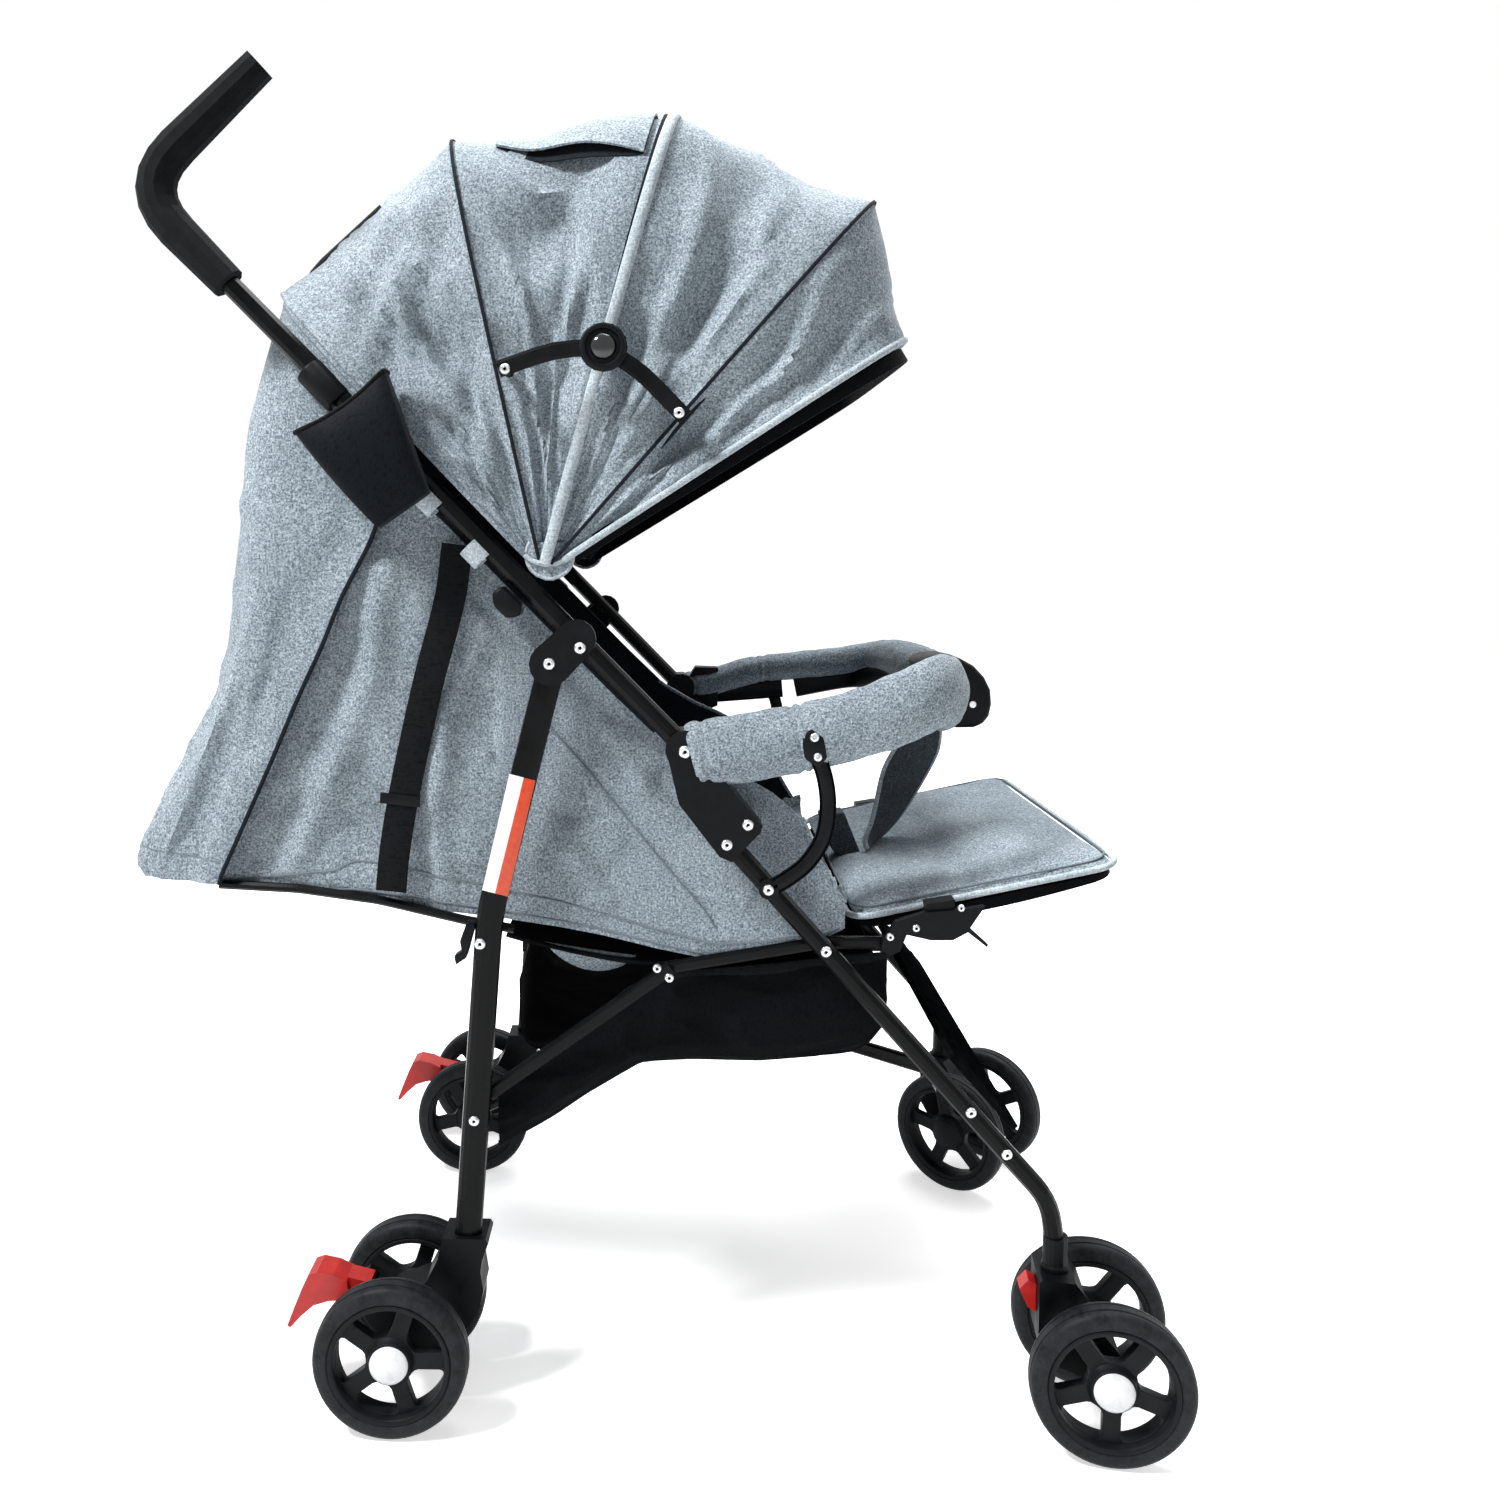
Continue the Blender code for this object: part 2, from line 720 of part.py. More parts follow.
# Moulded joint where the handle tube meets the front leg
def add_side_plate(side):
    sign = SIDES[side]
    outline = arc(KNUCKLE, KNUCKLE_R, -25.0, 215.0, 9)
    outline += [
        on_leg(-0.0968, -0.0076),
        on_leg(-0.0454, -0.0114),
        on_leg(-0.0362, -0.0070),
        on_leg(-0.0388, 0.0246),
        on_leg(-0.0414, 0.0291),
        on_leg(-0.0832, 0.0306),
    ]
    y0 = sign * (FRAME_Y - JOINT_W / 2)
    y1 = sign * (FRAME_Y + JOINT_W / 2)
    plate = add(f"side_plate_{side}", prism(outline, y0, y1), BLACK_PLASTIC)
    pocket = sweep(
        [
            flat(on_handle(0.0020 - GAP), sign * FRAME_Y),
            flat(on_handle(0.0600), sign * FRAME_Y),
        ],
        oval(2 * (TUBE_R + GAP), 2 * (TUBE_R + GAP)),
    )
    combine(plate, pocket, "DIFFERENCE", f"handle pocket {side}")
    pocket = sweep(
        [
            flat(on_leg(-LEG_INSET - GAP), sign * FRAME_Y),
            flat(on_leg(0.0300), sign * FRAME_Y),
        ],
        oval(2 * (LEG_R + GAP), 2 * (LEG_R + GAP)),
    )
    combine(plate, pocket, "DIFFERENCE", f"leg pocket {side}")


# Upper hinge: a clamp on the handle tube with the rear leg's pivot
def add_upper_hinge(side):
    sign = SIDES[side]
    distance = (KNUCKLE[0] - UPPER_PIVOT[0]) * -UP_TUBE[0] + (
        UPPER_PIVOT[1] - KNUCKLE[1]
    ) * UP_TUBE[1]
    on_tube = on_handle(distance)
    y0 = FRAME_Y + TUBE_R + GAP
    turn = math.degrees(
        math.atan2(on_tube[1] - UPPER_PIVOT[1], on_tube[0] - UPPER_PIVOT[0])
    )
    outline = arc(UPPER_PIVOT, HINGE_LOBE_R, turn + 90.0, turn + 270.0, 8)
    outline += arc(on_tube, HINGE_LOBE_R * 0.92, turn - 90.0, turn + 90.0, 8)
    hinge = add(
        f"upper_hinge_{side}",
        prism(outline, sign * y0, sign * (y0 + HINGE_T)),
        BLACK_PLASTIC,
    )
    inner = sign * (FRAME_Y - REAR_LEG_T / 2 - 0.0020)
    pin = y_pin(UPPER_PIVOT, UPPER_PIN_R, inner, sign * (y0 + HINGE_T / 2))
    combine(hinge, pin, "UNION", f"upper pin {side}")


# Rear leg, its housing, axle and wheels
def rear_path(side):
    y = SIDES[side] * FRAME_Y
    tip = Vector((UPPER_PIVOT[0], y, UPPER_PIVOT[1]))
    bend = Vector((REAR_BEND[0], y, REAR_BEND[1]))
    foot = Vector((REAR_FOOT[0], y, REAR_FOOT[1]))
    above = tip + (tip - bend).normalized() * 0.0110
    return bent([above, bend, foot], 0.25, 4)


def add_rear_leg(side):
    sign = SIDES[side]
    at = (UPPER_PIVOT[0], sign * FRAME_Y, UPPER_PIVOT[1])
    path = rear_path(side)
    leg = sweep(path, oval(REAR_LEG_T, REAR_LEG_W, 14, 2.5))
    made = add(f"rear_leg_{side}", about(leg, at), BLACK_TUBE, at=at)
    through = REAR_LEG_T
    y0 = sign * (FRAME_Y - through)
    y1 = sign * (FRAME_Y + through)
    hole = y_pin(UPPER_PIVOT, UPPER_PIN_R + GAP, y0, y1)
    combine(made, about(hole, at), "DIFFERENCE", f"upper pin hole {side}")
    lift = sign * BAR_STACK
    lug = prism(
        [
            (BAR_REAR[0] - 0.0080, BAR_REAR[1] + lift - 0.0060),
            (BAR_REAR[0] + 0.0010, BAR_REAR[1] + lift - 0.0060),
            (BAR_REAR[0] + 0.0010, BAR_REAR[1] + lift + 0.0060),
            (BAR_REAR[0] - 0.0080, BAR_REAR[1] + lift + 0.0060),
        ],
        sign * (BAR_Y + BAR_T / 2 + PLAY),
        sign * FRAME_Y,
    )
    combine(made, about(lug, at), "UNION", f"rear bar lug {side}")


def add_rear_housing(side):
    sign = SIDES[side]
    y = sign * REAR_TRACK_Y
    top = REAR_FOOT[1] + REAR_FOOT_IN
    outline = [
        (0.0340, top),
        (0.0680, top),
        (0.0700, 0.1340),
        (0.0655, 0.1210),
        (0.0640, 0.1110),
        (0.0665, 0.0955),
        (0.0640, 0.0830),
        (0.0560, 0.0680),
        (0.0420, 0.0540),
        (0.0180, WHEEL_R - 0.0120),
        (0.0, WHEEL_R - 0.0140),
        (-0.0130, WHEEL_R - 0.0060),
        (-0.0360, PEDAL_PIVOT[1] - 0.0050),
        (-0.0370, PEDAL_PIVOT[1] + 0.0030),
        (-0.0300, PEDAL_PIVOT[1] + 0.0080),
        (-0.0080, 0.0880),
        (0.0200, 0.1000),
        (0.0300, 0.1200),
    ]
    at = (0.0, y, WHEEL_R)
    housing = add(
        f"rear_housing_{side}",
        about(prism(outline, y - HOUSING_W / 2, y + HOUSING_W / 2), at),
        BLACK_PLASTIC,
        at=at,
    )
    path = rear_path(side)
    foot = Vector(path[-1])
    down = (foot - Vector(path[-2])).normalized()
    pocket = sweep(
        [foot - down * 0.060, foot + down * GAP],
        oval(REAR_LEG_T + 2 * GAP, REAR_LEG_W + 2 * GAP, 14, 2.5),
    )
    combine(housing, about(pocket, at), "DIFFERENCE", f"rear pocket {side}")
    combine(housing, axle_bm(), "UNION", f"rear axle {side}")
    slot = about(
        prism(
            [(-0.0500, 0.0700), (-0.0215, 0.0740), (-0.0215, 0.1050), (-0.0500, 0.1050)],
            y - 0.0095,
            y + 0.0095,
        ),
        at,
    )
    combine(housing, slot, "DIFFERENCE", f"pedal slot {side}")
    for place, facing in (("outer", sign), ("inner", -sign)):
        add_wheel(
            f"rear_wheel_{place}_{side}",
            (0.0, y + facing * PAIR_SPACING / 2, WHEEL_R),
            facing,
        )


def add_pedal(side):
    y = SIDES[side] * REAR_TRACK_Y
    at = (PEDAL_PIVOT[0], y, PEDAL_PIVOT[1])
    root = prism(
        [
            (PEDAL_PIVOT[0] + 0.0060, PEDAL_PIVOT[1] - 0.0040),
            (PEDAL_PIVOT[0] + 0.0060, PEDAL_PIVOT[1] + 0.0070),
            (PEDAL_PIVOT[0] - 0.0120, PEDAL_PIVOT[1] + 0.0110),
            (PEDAL_PIVOT[0] - 0.0200, PEDAL_PIVOT[1] - 0.0020),
            (PEDAL_PIVOT[0] - 0.0060, PEDAL_PIVOT[1] - 0.0060),
        ],
        y - 0.0085,
        y + 0.0085,
    )
    pedal = add(f"brake_pedal_{side}", about(root, at), RED, at=at)
    claw = prism(
        [
            (-0.0420, 0.0900),
            (-0.0430, 0.0980),
            (-0.0540, 0.1030),
            (-0.0670, 0.1055),
            (-0.0740, 0.1030),
            (-0.0790, 0.0920),
            (-0.0850, 0.0770),
            (-0.0910, 0.0610),
            (-0.0885, 0.0595),
            (-0.0800, 0.0690),
            (-0.0700, 0.0780),
            (-0.0580, 0.0820),
            (-0.0460, 0.0830),
        ],
        y - PEDAL_W / 2,
        y + PEDAL_W / 2,
    )
    combine(pedal, about(claw, at), "UNION", f"pedal claw {side}")


def add_swivel_lock(side, pivot, turn):
    """A red rocker on the back of the caster's fork. It stops the swivel when it is pressed."""
    rear = -FORK_REAR - GAP
    outline = [
        (rear, 0.1090),
        (rear - 0.0060, 0.1120),
        (rear - 0.0125, 0.1040),
        (rear - 0.0060, 0.0900),
        (rear, 0.0870),
    ]
    lock = prism(outline, -LOCK_W / 2, LOCK_W / 2)
    add(f"swivel_lock_{side}", lock, RED, at=pivot, turn=turn)


# Seat rail, strut and floor bars
def add_links(side):
    sign = SIDES[side]
    y = sign * RAIL_Y
    at = flat(RAIL_PIVOT, y)
    ahead = Vector((RAIL_KNEE[0] - RAIL_PIVOT[0], 0.0, RAIL_KNEE[1] - RAIL_PIVOT[1]))
    knee = Vector(flat(RAIL_KNEE, y)) + ahead.normalized() * 0.0060
    tip = Vector(flat(RATCHET_PIVOT, y)) + Vector((0.0050, 0.0, 0.0))
    path = [knee, Vector(flat(RAIL_PIVOT, y)), tip]
    rail = sweep(path, oval(RAIL_T, RAIL_H, 10, 3.0))
    add(f"seat_rail_{side}", about(rail, at), BLACK_TUBE, at=at)
    y = sign * STRUT_Y
    foot = Vector(flat(STRUT_FOOT, y))
    knee = Vector(flat(RAIL_KNEE, y))
    along = (knee - foot).normalized()
    strut = sweep(
        [foot - along * 0.0060, knee + along * 0.0060],
        oval(STRUT_T, STRUT_W, 10, 3.0),
    )
    add(f"strut_{side}", about(strut, foot), BLACK_TUBE, at=foot)


def bar_ends(side):
    """The floor bar that starts at this side's front leg, and ends at the other side's rear leg."""
    sign = SIDES[side]
    lift = -sign * BAR_STACK
    front = Vector((BAR_FRONT[0], sign * BAR_Y, BAR_FRONT[1] + lift))
    rear = Vector((BAR_REAR[0], -sign * BAR_Y, BAR_REAR[1] + lift))
    return front, rear


def add_floor_bar(side):
    front, rear = bar_ends(side)
    along = (rear - front).normalized()
    bar = sweep(
        [front - along * BAR_END, rear],
        oval(BAR_H, BAR_T, 10, 3.0),
        across=(0.0, 0.0, 1.0),
    )
    add(f"floor_bar_{side}", about(bar, front), BLACK_TUBE, at=front)


# Armrest with its curved brace, and one half of the bumper bar
def add_armrest(side):
    sign = SIDES[side]
    y = sign * BUMPER_Y
    rear = Vector((SLEEVE_REAR_X, y, BUMPER_HINGE[1] - SLEEVE_FALL))
    hinge = Vector(flat(BUMPER_HINGE, y))
    along = (hinge - rear).normalized()
    stop = hinge - along * (BUMPER_NECK_R + 0.0030)
    shoulder = hinge - along * (BUMPER_NECK_R + BUMPER_NECK)
    section = oval(SLEEVE_W, SLEEVE_H, 12, 2.2)
    thin = (2 * BUMPER_NECK_R / SLEEVE_W, 2 * BUMPER_NECK_R / SLEEVE_H)
    path = [
        rear,
        rear + along * 0.004,
        rear + along * 0.020,
        shoulder - along * 0.003,
        shoulder,
        shoulder + along * 0.0003,
        stop,
    ]
    scales = [(0.80, 0.95), (0.94, 1.05), (1.0, 1.08), (1.0, 1.0), (0.86, 0.90), thin, thin]
    rest = add(f"armrest_{side}", sweep(path, section, scales=scales), HEATHER)
    face = FRAME_Y + JOINT_W / 2 + GAP
    tongue = prism(
        [
            (0.2290, 0.5075),
            (0.2290, 0.5440),
            (0.2400, 0.5510),
            (0.2750, 0.5580),
            (0.2750, 0.5030),
            (0.2500, 0.4990),
        ],
        sign * face,
        sign * (face + TONGUE_T),
    )
    combine(rest, tongue, "UNION", f"armrest tongue {side}")
    brace = [
        flat((0.3190, 0.5400), 0.0),
        flat((0.3280, 0.4870), 0.0),
        flat((0.3140, 0.4420), 0.0),
        flat((LEG_RIVET_A[0] - 0.0020, LEG_RIVET_A[1] + 0.0010), 0.0),
    ]
    centre = sign * (FRAME_Y + LEG_R + GAP + ARM_T / 2)
    curve = [Vector((p[0], centre, p[2])) for p in bent(brace, 0.080, 3)]
    arm = sweep(curve, oval(ARM_T, ARM_W, 8, 4.0))
    combine(rest, arm, "UNION", f"brace {side}")


def bumper_path(side):
    sign = SIDES[side]
    hinge = Vector(flat(BUMPER_HINGE, sign * BUMPER_Y))
    centre = Vector((BUMPER_CENTRE[0], 0.0, BUMPER_CENTRE[1]))
    reach = 0.0 if sign < 0 else BUMPER_KNUCKLE_R + BUMPER_PART
    points = [
        hinge,
        flat((0.4000, 0.5620), sign * BUMPER_Y),
        flat((0.4420, 0.5690), sign * (BUMPER_Y - 0.0100)),
        flat((0.4620, 0.5620), sign * 0.1000),
        flat((0.4740, 0.5520), sign * 0.0400),
        centre + Vector((0.0, sign * reach, 0.0)),
    ]
    return hinge, bent(points, 0.070, 2)


def add_bumper(side):
    sign = SIDES[side]
    hinge, path = bumper_path(side)
    along = (path[1] - path[0]).normalized()
    neck = hinge + along * (BUMPER_NECK_R + BUMPER_NECK)
    body = [neck] + path[1:]
    scales = [(0.86, 0.90)] + [(1.0, 1.0)] * (len(body) - 2) + [(0.80, 0.80)]
    section = oval(SLEEVE_W, SLEEVE_H, 12, 2.2)
    half = add(
        f"bumper_{side}",
        about(sweep(body, section, scales=scales), hinge),
        HEATHER,
        at=hinge,
    )
    eye = turned(
        [
            (0.0, -BUMPER_NECK_R),
            (BUMPER_NECK_R, -BUMPER_NECK_R),
            (BUMPER_NECK_R, BUMPER_NECK_R),
            (0.0, BUMPER_NECK_R),
        ],
        12,
        "Z",
    )
    combine(half, eye, "UNION", f"bumper eye {side}")
    link = sweep([Vector(), along * 0.0200], oval(0.0130, 0.0140, 8, 4.0))
    combine(half, link, "UNION", f"bumper neck {side}")
    if sign < 0:
        centre = Vector((BUMPER_CENTRE[0], 0.0, BUMPER_CENTRE[1])) - hinge
        combine(half, moved(bumper_joint(), centre), "UNION", "bumper joint")


def bumper_joint():
    """The rounded black joint between the two halves of the bumper bar, about its own centre."""
    radius = BUMPER_KNUCKLE_R
    profile = [(0.0, -radius)]
    for turn in (-65.0, -35.0, 0.0, 35.0, 65.0):
        angle = math.radians(turn)
        profile.append((radius * math.cos(angle), radius * math.sin(angle)))
    profile.append((0.0, radius))
    return turned(profile, 14, "Z")


# Leg rest and footrest
def add_leg_rest():
    rear = Vector((PAD_REAR[0], 0.0, PAD_REAR[1]))
    front = Vector((PAD_FRONT[0], 0.0, PAD_FRONT[1]))
    along = (front - rear).normalized()
    up = Vector((-along.z, 0.0, along.x))
    length = (front - rear).length
    rings = []
    stations = [0.0, 0.03, 0.12, 0.32, 0.52, 0.72, 0.9, 0.975, 1.0]
    widths = [-1.0, -0.93, -0.72, -0.42, 0.0, 0.42, 0.72, 0.93, 1.0]
    for share in stations:
        edge = 1 - abs(2 * share - 1) ** 6
        drawn = 0.982 + 0.018 * edge
        top = []
        low = []
        for side in widths:
            fullness = (1 - abs(side) ** 5) * edge
            y = side * PAD_HALF_W * drawn
            base = rear + along * (length * share)
            swell = PAD_T * (0.35 + 0.25 * fullness) + PAD_CROWN * fullness
            top.append(base + up * swell + Vector((0.0, y, 0.0)))
            low.append(base - up * PAD_T * (0.25 + 0.10 * fullness) + Vector((0.0, y, 0.0)))
        rings.append(top + low[::-1])
    pad = loft(rings)
    at = flat(RATCHET_PIVOT, 0.0)
    add("leg_rest", about(pad, at), HEATHER, at=at)


def add_ratchet(side):
    sign = SIDES[side]
    outline = [
        (0.3880, 0.3914),
        (0.4100, 0.3990),
        (0.4386, 0.4018),
        (0.4569, 0.4050),
        (0.4456, 0.3873),
        (0.4600, 0.3745),
        (0.4590, 0.3725),
        (0.4441, 0.3840),
        (0.4324, 0.3774),
        (0.4154, 0.3771),
        (0.3965, 0.3811),
        (0.3915, 0.3680),
        (0.3840, 0.3640),
        (0.3770, 0.3690),
        (0.3780, 0.3770),
    ]
    y0 = sign * (RATCHET_Y - RATCHET_T / 2)
    y1 = sign * (RATCHET_Y + RATCHET_T / 2)
    at = flat(RATCHET_PIVOT, sign * RATCHET_Y)
    plate = add(f"ratchet_{side}", about(prism(outline, y0, y1), at), BLACK_PLASTIC, at=at)
    lug = prism(
        [(0.4120, 0.3920), (0.4340, 0.3960), (0.4340, 0.4090), (0.4120, 0.4050)],
        sign * (PAD_HALF_W + PLAY),
        sign * RATCHET_Y,
    )
    combine(plate, about(lug, at), "UNION", f"ratchet lug {side}")


def add_footrest():
    middle = on_leg(0.239, FOOTREST_RISE)
    at = flat(middle, 0.0)
    half = FOOTREST_L / 2
    end = FOOTREST_HALF_W
    rings = []
    for y, thick in (
        (-end, 0.0110),
        (-end + 0.0140, 0.0110),
        (-end + 0.0180, FOOTREST_T),
        (end - 0.0180, FOOTREST_T),
        (end - 0.0140, 0.0110),
        (end, 0.0110),
    ):
        low = -FOOTREST_T / 2
        high = low + thick
        ring = []
        for along, up in (
            (-half, low),
            (half, low),
            (half + 0.002, low + thick * 0.5),
            (half, high),
            (-half, high),
            (-half - 0.002, low + thick * 0.5),
        ):
            point = LEG_DIR * along + LEG_NORMAL * up
            ring.append((point.x, y, point.z))
        rings.append(ring)
    add("footrest", loft(rings), BLACK_PLASTIC, at=at)


# Cloth
def channel(stations, half_w, thick):
    """A trough of cloth: base and two side walls. Stations give x, base height and the walls' top."""
    rings = []
    for x, base, top in stations:
        w = half_w
        t = thick
        rings.append(
            [
                (x, -w, top),
                (x, -w, base),
                (x, -w + 0.010, base - t),
                (x, 0.0, base - t - 0.002),
                (x, w - 0.010, base - t),
                (x, w, base),
                (x, w, top),
                (x, w - t, top),
                (x, w - t, base + 0.010),
                (x, w - t - 0.010, base),
                (x, 0.0, base - 0.002),
                (x, -w + t + 0.010, base),
                (x, -w + t, base + 0.010),
                (x, -w + t, top),
            ]
        )
    return loft(rings)


def add_seat():
    stations = [
        (0.0900, 0.3880, 0.6350),
        (0.1200, 0.3870, 0.6080),
        (0.1600, 0.3850, 0.5660),
        (0.2020, 0.3830, 0.5200),
        (0.2350, 0.3820, 0.4450),
        (0.2700, 0.3820, 0.4150),
        (0.3100, 0.3840, 0.4020),
        (0.3520, 0.3860, 0.3980),
    ]
    seat = add("seat", channel(stations, SEAT_HALF_W, SEAT_T), HEATHER)
    gusset = [
        (0.1000, 0.3950),
        (0.1000, 0.6200),
        (0.0900, 0.6420),
        (-0.0180, 0.7480),
        (-0.0460, 0.7400),
        (-0.0600, 0.6300),
        (-0.1080, 0.5200),
        (-0.1500, 0.4300),
        (-0.1480, 0.4120),
        (-0.0400, 0.4060),
        (0.0400, 0.3920),
    ]
    for name, sign in SIDES.items():
        y0 = sign * (GUSSET_Y - GUSSET_T)
        combine(seat, prism(gusset, y0, sign * GUSSET_Y), "UNION", f"seat gusset {name}")


def add_back():
    slope = (BACK_END[1] - BACK_PIVOT[1]) / (BACK_PIVOT[0] - BACK_END[0])
    stations = []
    for share in (0.0, 0.15, 0.35, 0.55, 0.75, 0.92, 1.0):
        x = BACK_PIVOT[0] + (BACK_END[0] - BACK_PIVOT[0]) * share
        z = BACK_PIVOT[1] + slope * (BACK_PIVOT[0] - x) + BACK_T
        rim = BACK_RIM * math.sin(math.pi * (0.12 + 0.78 * share))
        stations.append((x, z, z + 0.012 + rim))
    at = flat(BACK_PIVOT, 0.0)
    back = channel(stations, BACK_HALF_W, BACK_T)
    add("backrest", about(back, at), HEATHER, at=at)


def add_back_tube(side):
    y = SIDES[side] * BACK_TUBE_Y
    at = flat(BACK_PIVOT, y)
    path = [
        flat(BACK_PIVOT, y),
        (0.0458, y, 0.3835),
        (-0.0231, y, 0.3985),
        (-0.0880, y, 0.4065),
        (-0.1520, y, 0.4090),
    ]
    tube = sweep(bent(path, 0.10, 2), oval(2 * BACK_TUBE_R, 2 * BACK_TUBE_R, 8))
    add(f"back_tube_{side}", about(tube, at), BLACK_TUBE, at=at)


def add_curtain():
    """Cloth from the canopy's rear edge down to the end of the back: a rear wall and two side flaps."""
    rows = [
        (0.4100, -0.2360, -0.1480),
        (0.4300, -0.2350, -0.1420),
        (0.4700, -0.2160, -0.1240),
        (0.5200, -0.1860, -0.1000),
        (0.5800, -0.1590, -0.0720),
        (0.6300, -0.1500, -0.0500),
        (0.6800, -0.1440, -0.0320),
        (0.7400, -0.1400, -0.0400),
        (0.8000, -0.1270, -0.0600),
        (0.8500, -0.1190, -0.0840),
    ]
    rings = []
    for row, (z, rear, front) in enumerate(rows):
        outer = []
        inner = []
        fade = math.sin(math.pi * min(1.0, (z - 0.40) / 0.30) / 2)
        fade = 1 - 0.7 * fade
        steps = 3
        half = []
        for k in range(steps + 1):
            share = k / steps
            wave = CURTAIN_FOLD * fade * math.sin(2 * math.pi * share * 1.5)
            half.append((front + (rear + 0.030 - front) * share, CURTAIN_Y + min(0.0, wave)))
        half.append((rear + 0.012, CURTAIN_Y - 0.008))
        half.append((rear + 0.002, CURTAIN_Y - 0.026))
        for k in range(1, 3):
            share = k / 3
            wave = CURTAIN_FOLD * fade * math.sin(2 * math.pi * share * 2.0)
            half.append((rear + abs(wave), (CURTAIN_Y - 0.026) * (1 - share)))
        whole = [(x, -y) for x, y in half] + [(x, y) for x, y in half[::-1]]
        for index, (x, y) in enumerate(whole):
            before = Vector(whole[max(0, index - 1)])
            after = Vector(whole[min(len(whole) - 1, index + 1)])
            way = (after - before).normalized()
            inward = Vector((-way.y, way.x)) * -CURTAIN_T
            outer.append((x, y, z))
            inner.append((x + inward.x, y + inward.y, z))
        rings.append(outer + inner[::-1])
    add("curtain", loft(rings), HEATHER)


# Stations of the canopy: turn from +X about the apex, and how far its top there lies inside the front bow's
CANOPY_FAN = [
    (33.5, 0.052),
    (41.5, 0.028),
    (BOW_TURN, 0.0),
    (57.5, 0.017),
    (66.0, 0.021),
    (75.2, 0.016),
    (84.0, 0.032),
    (91.5, 0.049),
    (97.0, 0.046),
    (102.8, 0.038),
    (118.0, 0.063),
    (132.5, 0.073),
]


def canopy_half(reach, inset):
    """Across-and-up points of one bow, from its foot to the middle, drawn in by the inset."""
    w = CANOPY_HALF_W - inset
    top = reach - inset
    return [
        (w - 0.0060, CANOPY_FOOT),
        (w - 0.0015, 0.30 * top),
        (w, 0.58 * top),
        (w - 0.0060, 0.78 * top),
        (w - 0.0260, 0.92 * top),
        (w - 0.0700, 0.985 * top),
        (0.0, top),
    ]


def strip_section(width, height):
    return [
        (-width / 2, -height / 2),
        (width / 2, -height / 2),
        (width / 2, height / 2),
        (-width / 2, height / 2),
    ]


def fan_point(turn, y, reach):
    angle = math.radians(turn)
    return (
        CANOPY_APEX[0] + reach * math.cos(angle),
        y,
        CANOPY_APEX[1] + reach * math.sin(angle),
    )


def add_canopy():
    rings = []
    for turn, inside_bow in CANOPY_FAN:
        ring = []
        reach = BOW_REACH - inside_bow
        outside = canopy_half(reach, 0.0)
        inside = canopy_half(reach, CANOPY_T)
        for y, up in outside:
            ring.append(fan_point(turn, -y, up))
        for y, up in outside[-2::-1]:
            ring.append(fan_point(turn, y, up))
        for y, up in inside:
            ring.append(fan_point(turn, y, up))
        for y, up in inside[-2::-1]:
            ring.append(fan_point(turn, -y, up))
        rings.append(ring)
    at = flat(CANOPY_APEX, 0.0)
    add("canopy", about(loft(rings), at), HEATHER, at=at)


def add_bow(name, turn, reach):
    """A flat sprung strip inside the canopy, from one side's pivot over to the other's."""
    half = canopy_half(reach, CANOPY_T + BOW_T / 2 + BOW_CLEAR)
    half[0] = (half[0][0], 0.0060)
    points = [fan_point(turn, -y, up) for y, up in half]
    points += [fan_point(turn, y, up) for y, up in half[-2::-1]]
    angle = math.radians(turn)
    normal = (-math.sin(angle), 0.0, math.cos(angle))
    strip = sweep(points, strip_section(BOW_W, BOW_T), across=normal)
    at = flat(CANOPY_APEX, 0.0)
    add(name, about(strip, at), BLACK_PLASTIC, at=at)


def add_stretchers(side):
    sign = SIDES[side]
    y = sign * STRETCH_Y
    section = oval(STRETCH_T, STRETCH_W, 8, 4.0)
    rear = Vector(flat(STRETCH_REAR, y))
    knob = Vector(flat(STRETCH_KNOB, y))
    front = Vector(flat(STRETCH_FRONT, y))
    along = (knob - rear).normalized()
    sag = Vector((0.0, 0.0, 0.0060))
    path = [rear - along * 0.005, rear.lerp(knob, 0.5) + sag, knob + along * 0.006]
    arm = add(
        f"stretcher_rear_{side}",
        about(sweep(bent(path, 0.10, 2), section), rear),
        BLACK_PLASTIC,
        at=rear,
    )
    base = STRETCH_T / 2 - 0.0005
    profile = [
        (0.0, base),
        (KNOB_R, base),
        (KNOB_R, base + KNOB_H * 0.5),
        (KNOB_R * 0.75, base + KNOB_H * 0.85),
        (0.0, base + KNOB_H),
    ]
    dome = turned([(radius, sign * height) for radius, height in profile], 16)
    combine(arm, moved(dome, knob - rear), "UNION", f"knob {side}")
    stud = y_pin(STRETCH_REAR, STUD_R, sign * (CANOPY_HALF_W + PLAY), y)
    combine(arm, about(stud, rear), "UNION", f"rear stud {side}")
    y = sign * (STRETCH_Y - STRETCH_T - GAP)
    knob = Vector(flat(STRETCH_KNOB, y))
    front = Vector(flat(STRETCH_FRONT, y))
    along = (front - knob).normalized()
    path = [knob - along * 0.005, knob.lerp(front, 0.5) + sag, front + along * 0.005]
    arm = add(
        f"stretcher_front_{side}",
        about(sweep(bent(path, 0.10, 2), section), knob),
        BLACK_PLASTIC,
        at=knob,
    )
    stud = y_pin(STRETCH_FRONT, STUD_R, sign * (CANOPY_HALF_W + PLAY), y)
    combine(arm, about(stud, knob), "UNION", f"front stud {side}")


